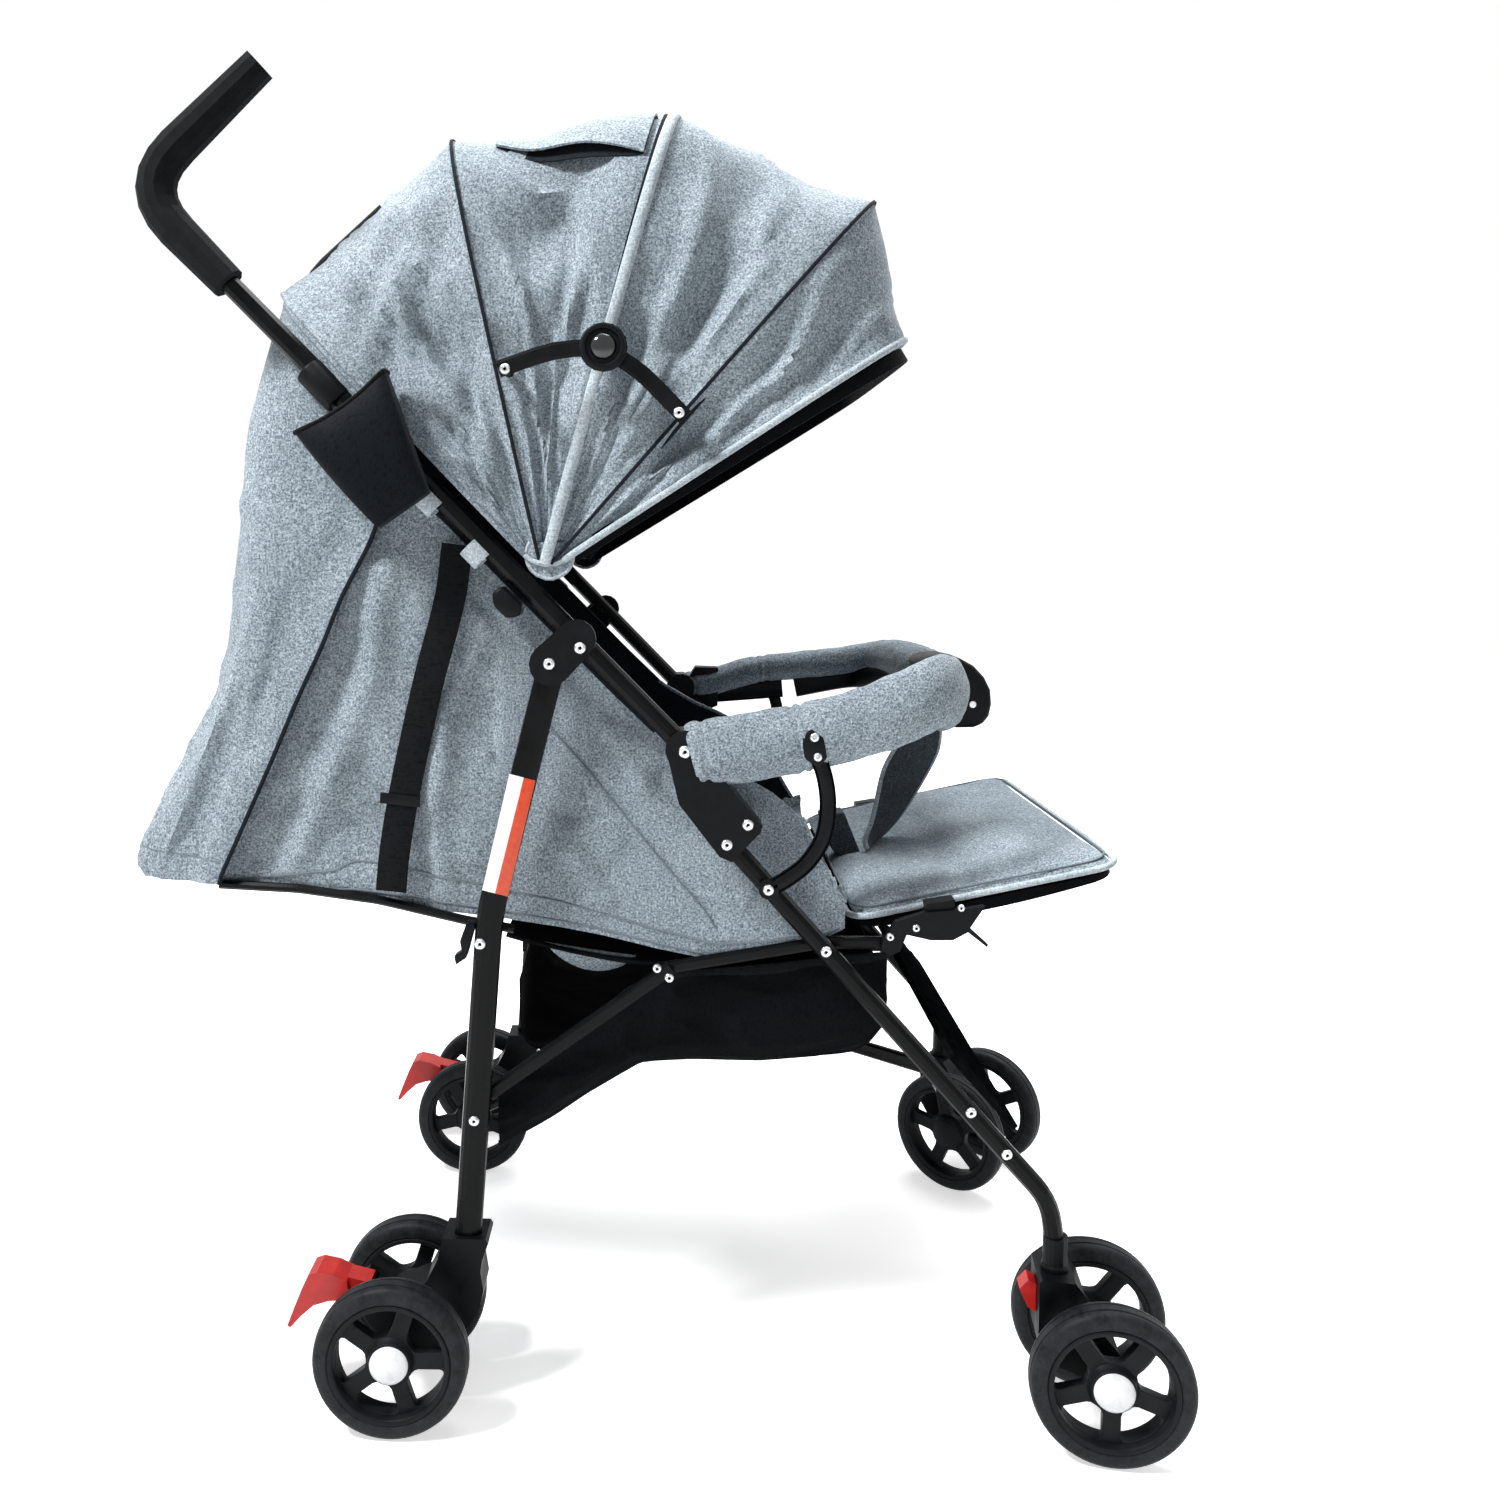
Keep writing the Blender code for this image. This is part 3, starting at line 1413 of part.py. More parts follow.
def add_basket():
    w = BASKET_HALF_W
    t = BASKET_T
    low = BASKET_Z
    high = BASKET_Z + BASKET_H
    outer = [
        (BASKET_X0, low),
        (BASKET_X1, low),
        (BASKET_X1 + 0.0060, high),
        (BASKET_X0 - 0.0060, high),
    ]
    basket = add("basket", prism(outer, -w, w), DARK_CLOTH)
    inner = [
        (BASKET_X0 + t, low + t),
        (BASKET_X1 - t, low + t),
        (BASKET_X1 + 0.0060 - t, high + 0.010),
        (BASKET_X0 - 0.0060 + t, high + 0.010),
    ]
    combine(basket, prism(inner, -w + t, w - t), "DIFFERENCE", "basket inside")


def add_pouch():
    y0 = -(FRAME_Y + TUBE_R + PLAY)
    y1 = y0 - POUCH_DEPTH
    corners = [
        Vector(POUCH_TOP_REAR),
        Vector(POUCH_TOP_FRONT),
        Vector(POUCH_LOW_FRONT),
        Vector(POUCH_LOW_REAR),
    ]
    pouch = add("pouch", prism([tuple(corner) for corner in corners], y1, y0), HEATHER)
    centre = (corners[2] + corners[3]) / 2
    top = (corners[0] + corners[1]) / 2
    rise = (top - centre).normalized()
    wall = POUCH_WALL

    def drawn_in(corner, towards):
        return corner + (towards - corner).normalized() * wall

    low_front = drawn_in(corners[2], corners[3]) + rise * wall
    low_rear = drawn_in(corners[3], corners[2]) + rise * wall
    top_front = drawn_in(corners[1], corners[0]) + rise * 0.010
    top_rear = drawn_in(corners[0], corners[1]) + rise * 0.010
    inside = [tuple(top_rear), tuple(top_front), tuple(low_front), tuple(low_rear)]
    combine(pouch, prism(inside, y1 + wall, y0 - wall), "DIFFERENCE", "pouch inside")


def add_crotch_strap():
    outline = [
        (0.3970, 0.4160),
        (0.4070, 0.4160),
        (0.4580, 0.5200),
        (0.4260, 0.5200),
    ]
    add("crotch_strap", prism(outline, -CROTCH_HALF_W, CROTCH_HALF_W), CHARCOAL)


def add_recline_strap(side):
    sign = SIDES[side]
    route = [(0.0400, 0.6840), (0.0160, 0.5700), (-0.0010, 0.4860), (-0.0110, 0.4080)]
    y = sign * STRAP_Y
    path = [flat(point, y) for point in route]
    strap = sweep(path, strip_section(STRAP_T, STRAP_W))
    add(f"recline_strap_{side}", strap, DARK_CLOTH)


for side in SIDES:
    add_handle(side)
    add_side_plate(side)
    add_upper_hinge(side)
    add_front_leg(side)
    add_foot(side)
    add_caster(side)
    add_rear_leg(side)
    add_rear_housing(side)
    add_pedal(side)
    add_links(side)
    add_floor_bar(side)
    add_armrest(side)
    add_bumper(side)
    add_ratchet(side)
    add_back_tube(side)
    add_stretchers(side)
    add_recline_strap(side)

add_leg_rest()
add_footrest()
add_seat()
add_back()
add_curtain()
add_canopy()
add_bow("canopy_bow_front", BOW_TURN, BOW_REACH)
add_basket()
add_pouch()
add_crotch_strap()

# The origin lies on the floor under the middle of the object's box.
bpy.context.view_layer.update()
graph = bpy.context.evaluated_depsgraph_get()
spread = []
for piece in FRAME.children:
    if not piece.hide_render:
        shape = piece.evaluated_get(graph)
        spread += [shape.matrix_world @ vertex.co for vertex in shape.data.vertices]
CENTRE_X = (min(p.x for p in spread) + max(p.x for p in spread)) / 2
CENTRE_Y = (min(p.y for p in spread) + max(p.y for p in spread)) / 2
FRAME.location = (-CENTRE_X, -CENTRE_Y, 0.0)
bpy.context.view_layer.update()
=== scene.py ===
import json
import math

import bmesh
import bpy
import numpy as np
from mathutils import Matrix, Vector, noise

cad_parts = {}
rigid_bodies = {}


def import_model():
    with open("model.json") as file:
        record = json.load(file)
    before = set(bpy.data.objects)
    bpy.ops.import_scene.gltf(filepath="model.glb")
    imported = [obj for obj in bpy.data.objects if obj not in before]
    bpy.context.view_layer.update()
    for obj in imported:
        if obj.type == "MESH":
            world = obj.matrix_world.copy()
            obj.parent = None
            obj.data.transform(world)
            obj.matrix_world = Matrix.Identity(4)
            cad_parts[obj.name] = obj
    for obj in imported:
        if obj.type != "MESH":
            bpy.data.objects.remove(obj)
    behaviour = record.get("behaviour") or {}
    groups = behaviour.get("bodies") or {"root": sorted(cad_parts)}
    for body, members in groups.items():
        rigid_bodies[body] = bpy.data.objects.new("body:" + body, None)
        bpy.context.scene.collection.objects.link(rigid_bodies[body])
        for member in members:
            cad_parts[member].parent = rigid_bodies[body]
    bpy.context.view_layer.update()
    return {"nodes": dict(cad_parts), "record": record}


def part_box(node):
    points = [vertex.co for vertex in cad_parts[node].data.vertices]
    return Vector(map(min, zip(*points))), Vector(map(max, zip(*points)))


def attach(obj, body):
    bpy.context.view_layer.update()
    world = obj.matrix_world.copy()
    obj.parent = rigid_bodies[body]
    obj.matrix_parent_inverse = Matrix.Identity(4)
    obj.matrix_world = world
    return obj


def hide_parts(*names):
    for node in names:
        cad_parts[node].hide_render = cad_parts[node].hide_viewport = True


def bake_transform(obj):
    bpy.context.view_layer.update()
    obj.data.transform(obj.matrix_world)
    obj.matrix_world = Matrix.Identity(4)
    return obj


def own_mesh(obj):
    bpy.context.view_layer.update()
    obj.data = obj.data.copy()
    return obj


for leftover in list(bpy.data.objects):
    bpy.data.objects.remove(leftover)
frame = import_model()

# Plan measures below are in metres: x forward from the rear axle, y across from the middle, z up from the
# floor.
wheel_low, wheel_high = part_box("rear_wheel_outer_right")
tube_low, tube_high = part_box("handle_tube_right")[0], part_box("handle_tube_left")[1]
ORIGIN = Vector(((wheel_low.x + wheel_high.x) / 2, (tube_low.y + tube_high.y) / 2, 0))

SIDES = (("right", -1), ("left", 1))


# Colour and nodes
def linear(hex_colour):
    values = [int(hex_colour[i : i + 2], 16) / 255 for i in (1, 3, 5)]
    return [*(v / 12.92 if v <= 0.04045 else ((v + 0.055) / 1.055) ** 2.4 for v in values), 1]


def add(tree, kind, settings=None, inputs=None):
    """Adds a node. A value of inputs is a setting, or another node's socket to link."""
    node = tree.nodes.new(kind)
    for name, value in (settings or {}).items():
        setattr(node, name, value)
    for key, value in (inputs or {}).items():
        if isinstance(value, bpy.types.NodeSocket):
            tree.links.new(value, node.inputs[key])
        else:
            node.inputs[key].default_value = value
    return node


def begin(name, **shader):
    """A new material: its node tree, its shader and the place on the object, in metres."""
    material = bpy.data.materials.new(name)
    material.use_nodes = True
    tree = material.node_tree
    tree.nodes.clear()
    inputs = {k.replace("_", " "): v for k, v in shader.items()}
    surface = add(tree, "ShaderNodeBsdfPrincipled", inputs=inputs)
    add(tree, "ShaderNodeOutputMaterial", inputs={"Surface": surface.outputs[0]})
    place = add(tree, "ShaderNodeTexCoord").outputs["Object"]
    return material, tree, surface, place


def grain(tree, place, size, stretch=(1, 1, 1), detail=2.0, rough=0.5):
    """Noise whose marks are size metres across, drawn out along an axis by a stretch below 1."""
    spread = add(tree, "ShaderNodeMapping", inputs={"Vector": place, "Scale": [s / size for s in stretch]})
    inputs = {"Vector": spread.outputs[0], "Scale": 1.0, "Detail": detail, "Roughness": rough}
    return add(tree, "ShaderNodeTexNoise", inputs=inputs).outputs["Fac"]


def between(tree, factor, low, high, start=0.3, end=0.7):
    """A colour or number that goes from low to high as factor goes from start to end."""
    if isinstance(low, (int, float)):
        inputs = {"Value": factor, "From Min": start, "From Max": end, "To Min": low, "To Max": high}
        return add(tree, "ShaderNodeMapRange", inputs=inputs).outputs[0]
    ramp = add(tree, "ShaderNodeValToRGB", inputs={"Fac": factor})
    ramp.color_ramp.elements[0].position = start
    ramp.color_ramp.elements[0].color = low
    ramp.color_ramp.elements[1].position = end
    ramp.color_ramp.elements[1].color = high
    return ramp.outputs["Color"]


def mixed(tree, a, b, factor, blend="MIX"):
    """Two colours mixed or multiplied."""
    settings = {"data_type": "RGBA", "blend_type": blend}
    return add(tree, "ShaderNodeMix", settings, {0: factor, 6: a, 7: b}).outputs[2]


def combined(tree, a, b, operation="ADD"):
    """A sum, or another operation on two numbers."""
    return add(tree, "ShaderNodeMath", {"operation": operation}, {0: a, 1: b}).outputs[0]


def tinted(tree, surface, factor, dark, light, start=0.3, end=0.7):
    """Gives the surface its colour, from dark to light as factor goes from start to end."""
    colour = between(tree, factor, linear(dark), linear(light), start, end)
    tree.links.new(colour, surface.inputs["Base Color"])


def roughened(tree, surface, factor, low, high):
    tree.links.new(between(tree, factor, low, high), surface.inputs["Roughness"])


def raised(tree, surface, height, depth, strength=1.0):
    """A bump in the surface, depth metres deep."""
    inputs = {"Height": height, "Distance": depth, "Strength": strength}
    bump = add(tree, "ShaderNodeBump", inputs=inputs)
    tree.links.new(bump.outputs[0], surface.inputs["Normal"])


def melange(name, dark, light, fleck=0.0016):
    """Polyester spun from dark and pale fibre and plain woven: flecks, a dry weave and a faint nap."""
    look = {"Roughness": 0.92, "Specular_IOR_Level": 0.2, "Sheen_Weight": 0.12, "Sheen_Roughness": 0.5}
    material, tree, surface, place = begin(name, **look)
    flecks = grain(tree, place, fleck, (1, 1, 1), 3.0, 0.72)
    warp = grain(tree, place, 0.0011, (1, 1, 0.16), 2.0)
    weft = grain(tree, place, 0.0011, (0.16, 0.16, 1), 2.0)
    yarn = combined(tree, warp, weft, "MAXIMUM")
    patch = grain(tree, place, 0.07, detail=2.0)
    colour = between(tree, flecks, linear(dark), linear(light), 0.38, 0.66)
    streaks = between(tree, yarn, linear("#D2D5D7"), linear("#FFFFFF"), 0.42, 0.66)
    clouds = between(tree, patch, linear("#EDEFF0"), linear("#FFFFFF"), 0.35, 0.65)
    colour = mixed(tree, mixed(tree, colour, streaks, 1.0, "MULTIPLY"), clouds, 1.0, "MULTIPLY")
    tree.links.new(colour, surface.inputs["Base Color"])
    # Threads are drawn about twice as coarse as the real ones, which a whole view can't show.
    raised(tree, surface, combined(tree, yarn, flecks, "ADD"), 0.0005, 0.55)
    return material


def dark_cloth(name, dark, light, thread, stretch, rough=0.8, sheen=0.03, depth=0.0005):
    """A dyed woven cloth: its threads run one way, and their tops are a little paler."""
    look = {"Roughness": rough, "Specular_IOR_Level": 0.04, "Sheen_Weight": sheen, "Sheen_Roughness": 0.45}
    material, tree, surface, place = begin(name, **look)
    threads = grain(tree, place, thread, stretch, 2.0)
    slubs = grain(tree, place, thread * 2.5, detail=3.0)
    both = combined(tree, threads, slubs, "ADD")
    tinted(tree, surface, both, dark, light, 0.7, 1.3)
    raised(tree, surface, both, depth, 0.6)
    return material


def coated_steel():
    """Steel tube, powder coated gloss black and baked: a bright soft highlight with a slight orange peel."""
    material, tree, surface, place = begin("powder_coated_steel", IOR=1.5, Specular_IOR_Level=0.09)
    dust = grain(tree, place, 0.02, detail=4.0)
    tinted(tree, surface, dust, "#040506", "#0A0B0D")
    roughened(tree, surface, dust, 0.24, 0.36)
    raised(tree, surface, grain(tree, place, 0.0016, detail=1.0), 0.00012, 0.6)
    return material


def moulded(name, dark, light, low, high, spark=0.0006, depth=0.0001, shine=0.1):
    """An injection moulded plastic with a fine spark-eroded grain, rubbed a little smoother in places."""
    material, tree, surface, place = begin(name, IOR=1.5, Specular_IOR_Level=shine)
    rubbed = grain(tree, place, 0.014, detail=4.0)
    tinted(tree, surface, rubbed, dark, light)
    roughened(tree, surface, rubbed, low, high)
    raised(tree, surface, grain(tree, place, spark, detail=1.0), depth, 0.7)
    return material


def foam_rubber():
    """Closed-cell foam sleeve, skived and buffed: dull, with pores and a soft grey bloom."""
    look = {"Roughness": 0.85, "Specular_IOR_Level": 0.08, "Sheen_Weight": 0.02, "Sheen_Roughness": 0.6}
    material, tree, surface, place = begin("closed_cell_foam", **look)
    inputs = {"Vector": place, "Scale": 900.0}
    cells = add(tree, "ShaderNodeTexVoronoi", inputs=inputs).outputs["Distance"]
    bloom = grain(tree, place, 0.012, detail=4.0)
    tinted(tree, surface, bloom, "#0A0B0D", "#131517")
    raised(tree, surface, cells, 0.0002, 0.35)
    return material


def foamed_tyre():
    """Foamed EVA tyre, moulded: charcoal, with a paler bloom where it has been handled."""
    material, tree, surface, place = begin("eva_tyre", IOR=1.45, Specular_IOR_Level=0.14)
    bloom = grain(tree, place, 0.01, detail=5.0, rough=0.6)
    scuffs = grain(tree, place, 0.003, (1, 0.3, 1), 3.0)
    both = combined(tree, bloom, combined(tree, scuffs, 0.35, "MULTIPLY"), "ADD")
    tinted(tree, surface, both, "#0F1113", "#282B2E", 0.5, 0.9)
    roughened(tree, surface, bloom, 0.42, 0.62)
    raised(tree, surface, scuffs, 0.0002, 0.5)
    return material


def zinc():
    """Zinc-plated steel rivet, pressed: bright, with a slightly clouded plating."""
    material, tree, surface, place = begin("zinc_plated_rivet", Metallic=1.0)
    cloud = grain(tree, place, 0.0025, detail=3.0)
    tinted(tree, surface, cloud, "#B4B7BA", "#DDDFE0")
    roughened(tree, surface, cloud, 0.22, 0.42)
    return material


def vinyl_label():
    """Printed vinyl, left without its print: a white half and an orange half, split along the leg."""
    material, tree, surface, place = begin("label_vinyl", Roughness=0.38, IOR=1.5)
    parts = add(tree, "ShaderNodeSeparateXYZ", inputs={0: place})
    lean = combined(tree, parts.outputs["Z"], -LEG_LEAN, "MULTIPLY")
    across = combined(tree, parts.outputs["X"], lean)
    middle = LABEL_SPLIT[0] + ORIGIN.x - LEG_LEAN * LABEL_SPLIT[1]
    side = combined(tree, across, middle, "GREATER_THAN")
    wear = grain(tree, place, 0.004, detail=3.0)
    white = between(tree, wear, linear("#DDE0E2"), linear("#F1F2F2"))
    orange = between(tree, wear, linear("#B8350D"), linear("#C94214"))
    tree.links.new(mixed(tree, white, orange, side), surface.inputs["Base Color"])
    raised(tree, surface, wear, 0.00005, 0.5)
    return material


# Where the label's two halves meet at its lower end, in x and z, and how far its leg leans
LABEL_SPLIT = (0.0741, 0.413)
LEG_LEAN = 0.2424
STEEL = coated_steel()
ABS = moulded("moulded_abs", "#050608", "#0D0F12", 0.36, 0.52)
NYLON = moulded("glass_filled_nylon", "#0C0E10", "#181B1E", 0.42, 0.58, 0.0009, 0.00015)
RED = moulded("red_acetal", "#A81310", "#C6211B", 0.28, 0.4, 0.0008, 0.00004, 0.4)
CAP = moulded("white_polypropylene", "#D9DCDE", "#EDEFF0", 0.24, 0.34, 0.001, 0.00003, 0.5)
GLOSS = moulded("polished_abs", "#08090B", "#0F1113", 0.07, 0.13, 0.001, 0.00002, 0.6)
FOAM = foam_rubber()
TYRE = foamed_tyre()
ZINC = zinc()
LABEL = vinyl_label()
HEATHER = melange("melange_polyester", "#626E77", "#C3CED6")
PIPING = melange("melange_piping", "#A3AFB7", "#DCE4E9")
CHARCOAL = melange("charcoal_melange", "#33383E", "#666D74", 0.0014)
OXFORD = dark_cloth("black_oxford", "#030406", "#0B0C0F", 0.0012, (1, 1, 0.3))
LINING = dark_cloth("dark_lining", "#111417", "#20242A", 0.001, (0.3, 1, 1), 0.9)
WEBBING = dark_cloth("black_webbing", "#060708", "#131516", 0.0014, (0.12, 0.12, 1), 0.7, 0.05, 0.0007)
POUCH = dark_cloth("pouch_oxford", "#06080B", "#11151A", 0.0012, (1, 1, 0.3), 0.55, 0.03)
THREAD = dark_cloth("sewing_thread", "#565E64", "#767F86", 0.0008, (1, 1, 1), 0.8)
# A sheet's outside, inside and edge
FABRIC = [HEATHER, LINING, HEATHER]
BLACK = [OXFORD] * 3


# Mesh makers. Each gives (points, faces), and make() turns them into a piece.
def catmull(points, per=8):
    """A smooth line through the points."""
    p = np.array(points, float)
    p = np.vstack([2 * p[0] - p[1], p, 2 * p[-1] - p[-2]])
    out = []
    for a, b, c, d in zip(p, p[1:], p[2:], p[3:]):
        for t in np.arange(per) / per:
            square = (2 * a - 5 * b + 4 * c - d) * t * t
            cube = (3 * b - a - 3 * c + d) * t**3
            out.append(0.5 * (2 * b + (c - a) * t + square + cube))
    out.append(p[-2])
    return np.array(out)


def spaced(line, count):
    """The same line with count points an even way apart."""
    line = np.array(line, float)
    along = np.r_[0, np.cumsum(np.linalg.norm(np.diff(line, axis=0), axis=1))]
    at = np.linspace(0, along[-1], count)
    return np.stack([np.interp(at, along, line[:, k]) for k in range(line.shape[1])], axis=1)


def table(rows, x):
    """The second column of rows at x."""
    rows = np.array(rows, float)
    return np.interp(x, rows[:, 0], rows[:, 1])


def ring(radius, count=16):
    """A round section."""
    turns = [2 * math.pi * i / count for i in range(count)]
    return [(radius * math.cos(t), radius * math.sin(t)) for t in turns]


def strap(width, thick, corner=0.4):
    """A flat section with rounded edges, width along its first axis."""
    w, t, c = width / 2, thick / 2, thick * corner
    corners = ((w - c, t - c, 0), (-w + c, t - c, 90), (-w + c, -t + c, 180), (w - c, -t + c, 270))
    out = []
    for x, y, start in corners:
        for step in (0, 45, 90):
            turn = math.radians(start + step)
            out.append((x + c * math.cos(turn), y + c * math.sin(turn)))
    return out


def sweep(path, section, side=(0, 1, 0), closed=False):
    """Carries a closed section along a path. Its first axis stays nearest to side."""
    path = [Vector(p) for p in path]
    count, n = len(path), len(section)
    points, faces = [], []
    for i, p in enumerate(path):
        ahead = path[(i + 1) % count] if closed or i < count - 1 else p
        behind = path[i - 1] if closed or i else p
        tangent = (ahead - behind).normalized()
        wanted = Vector(side)
        across = (wanted - tangent * wanted.dot(tangent)).normalized()
        up = tangent.cross(across)
        points += [p + (across * a + up * b) for a, b in section]
    for i in range(count if closed else count - 1):
        after = (i + 1) % count
        for j in range(n):
            k = (j + 1) % n
            faces.append((i * n + j, i * n + k, after * n + k, after * n + j))
    if not closed:
        faces.append(tuple(range(n))[::-1])
        faces.append(tuple(range((count - 1) * n, count * n)))
    return points, faces


def lathe(profile, centre=(0, 0, 0), axis=(0, 1, 0), count=32, closed=False):
    """Turns a profile of (radius, way along the axis) round the axis. A radius of 0 closes an end."""
    axis = Vector(axis).normalized()
    first = axis.orthogonal().normalized()
    second = axis.cross(first)
    points, rows = [], []
    for radius, along in profile:
        start = len(points)
        if radius < 1e-7:
            points.append(Vector(centre) + axis * along)
            rows.append([start] * count)
            continue
        for i in range(count):
            turn = 2 * math.pi * i / count
            out = first * math.cos(turn) + second * math.sin(turn)
            points.append(Vector(centre) + axis * along + out * radius)
        rows.append(list(range(start, start + count)))
    faces = []
    pairs = list(zip(rows, rows[1:]))
    if closed:
        pairs.append((rows[-1], rows[0]))
    for a, b in pairs:
        for i in range(count):
            k = (i + 1) % count
            face = []
            for index in (a[i], a[k], b[k], b[i]):
                if index not in face:
                    face.append(index)
            if len(face) > 2:
                faces.append(tuple(face))
    return points, faces


def slab(outline, y0, y1):
    """A flat plate of that outline in x and z, from y0 to y1."""
    n = len(outline)
    points = [Vector((x, y0, z)) for x, z in outline] + [Vector((x, y1, z)) for x, z in outline]
    faces = [tuple(range(n)), tuple(range(n, 2 * n))[::-1]]
    faces += [(i, n + i, n + (i + 1) % n, (i + 1) % n) for i in range(n)]
    return points, faces


def together(parts):
    """Several parts as one."""
    points, faces = [], []
    for more_points, more_faces in parts:
        start = len(points)
        points += list(more_points)
        faces += [tuple(i + start for i in face) for face in more_faces]
    return points, faces


def turned(part, matrix):
    return [matrix @ Vector(p) for p in part[0]], part[1]


def apply_modifiers(obj):
    depsgraph = bpy.context.evaluated_depsgraph_get()
    mesh = bpy.data.meshes.new_from_object(obj.evaluated_get(depsgraph))
    obj.modifiers.clear()
    obj.data = mesh


def make(name, part, material, body=None, slot=None, bevel=0, sharp=42, replaces=(), solid=True):
    """A piece from (points, faces) in plan measures, on its body."""
    points, faces = part
    mesh = bpy.data.meshes.new(name)
    mesh.from_pydata([tuple(Vector(p) + ORIGIN) for p in points], [], faces)
    for finish in material if isinstance(material, (list, tuple)) else [material]:
        mesh.materials.append(finish)
    obj = bpy.data.objects.new(name, mesh)
    bpy.context.scene.collection.objects.link(obj)
    if solid:
        edit = bmesh.new()
        edit.from_mesh(mesh)
        bmesh.ops.remove_doubles(edit, verts=edit.verts, dist=1e-6)
        bmesh.ops.recalc_face_normals(edit, faces=edit.faces)
        edit.to_mesh(mesh)
        edit.free()
    if bevel:
        soften = obj.modifiers.new("bevel", "BEVEL")
        soften.width = bevel
        soften.segments = 3
        soften.limit_method = "ANGLE"
        soften.angle_limit = math.radians(30)
        apply_modifiers(obj)
    shade(obj, sharp)
    if body:
        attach(obj, body)
    if replaces:
        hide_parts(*replaces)
    return obj


def shade(obj, sharp=42):
    mesh = obj.data
    mesh.polygons.foreach_set("use_smooth", [True] * len(mesh.polygons))
    mesh.set_sharp_from_angle(angle=math.radians(sharp))
    mesh.update()


def grid_faces(rows, columns):
    """The quads of a net of points."""
    faces = []
    for i in range(rows - 1):
        for j in range(columns - 1):
            a = i * columns + j
            faces.append((a, a + 1, a + columns + 1, a + columns))
    return faces


def normals_of(net):
    down = np.gradient(net, axis=0)
    along = np.gradient(net, axis=1)
    cross = np.cross(along, down)
    return cross / np.maximum(np.linalg.norm(cross, axis=2, keepdims=True), 1e-9)


def outward(net, inside):
    """The net's normals, turned away from a point inside it."""
    facing = normals_of(net)
    return -facing if (facing * (net - np.array(inside))).sum() < 0 else facing


def cloth(name, net, finishes, thick, outside, replaces=(),
          body="right_frame"):
    """A sheet of cloth on a net of points. outside is a way that its outside faces, or a point inside it."""
    facing = normals_of(net).reshape(-1, 3)
    middle = net.reshape(-1, 3)
    away = middle - np.array(outside[1]) if outside[0] == "from" else np.array([outside[1]])
    if (facing * away).sum() < 0:
        net = net[:, ::-1]
    points = [Vector(p) for p in net.reshape(-1, 3)]
    obj = make(name, (points, grid_faces(*net.shape[:2])), finishes, solid=False)
    width = obj.modifiers.new("thickness", "SOLIDIFY")
    width.thickness = thick
    width.offset = 0
    width.material_offset = 1
    width.material_offset_rim = 2
    apply_modifiers(obj)
    shade(obj, 60)
    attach(obj, body)
    if replaces:
        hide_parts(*replaces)
    close(obj)


def close(obj):
    """Gives the cloth its own copy of its mesh."""
    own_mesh(obj)


def trim(name, part, material, body="right_frame", slot="cloth", **finish):
    """A binding, a seam or another small piece that goes with a cloth, on that cloth's body."""
    obj = make(name, part, material, body, slot, **finish)
    close(obj)
    return obj


def wave(x, y, z, seed=0.0):
    """A smooth noise from about -1 to 1."""
    return noise.noise(Vector((x + seed * 7.3, y - seed * 3.1, z + seed)))


def ridge(x, y, z, seed=0.0):
    """A noise with narrow crests, as a crease has."""
    return (1 - 2 * abs(wave(x, y, z, seed))) ** 3 - 0.45


def bump(value, centre, width):
    """1 at the centre, and near 0 beyond about two widths."""
    return math.exp(-(((value - centre) / width) ** 2))


# The plain hard parts keep their solids and get their finish.
TREAD = moulded("tread_rubber", "#0A0B0C", "#151719", 0.75, 0.9, 0.0012, 0.0003, 0.0)
FINISH = {"tube": STEEL, "moulding": ABS, "foam": FOAM, "tyre": TYRE, "red": RED}
SLOTS = {row["node"]: row["material_slot"] for row in frame["record"]["subparts"]}
for node, obj in frame["nodes"].items():
    finish = TREAD if node == "footrest" else FINISH.get(SLOTS[node], CHARCOAL)
    for index in range(max(1, len(obj.material_slots))):
        if not obj.material_slots:
            obj.data.materials.append(finish)
        obj.material_slots[index].material = finish
    shade(obj, 36)


# Wheels
WHEEL_R = 0.06
WHEEL_W = 0.0215
TYRE_IN = WHEEL_R - 0.0125
RIM_IN = TYRE_IN - 0.0045
HUB_R = 0.0168
HUB_W = 0.019
WEB_T = 0.008
SPOKE_W = 0.013
SPOKES = 5


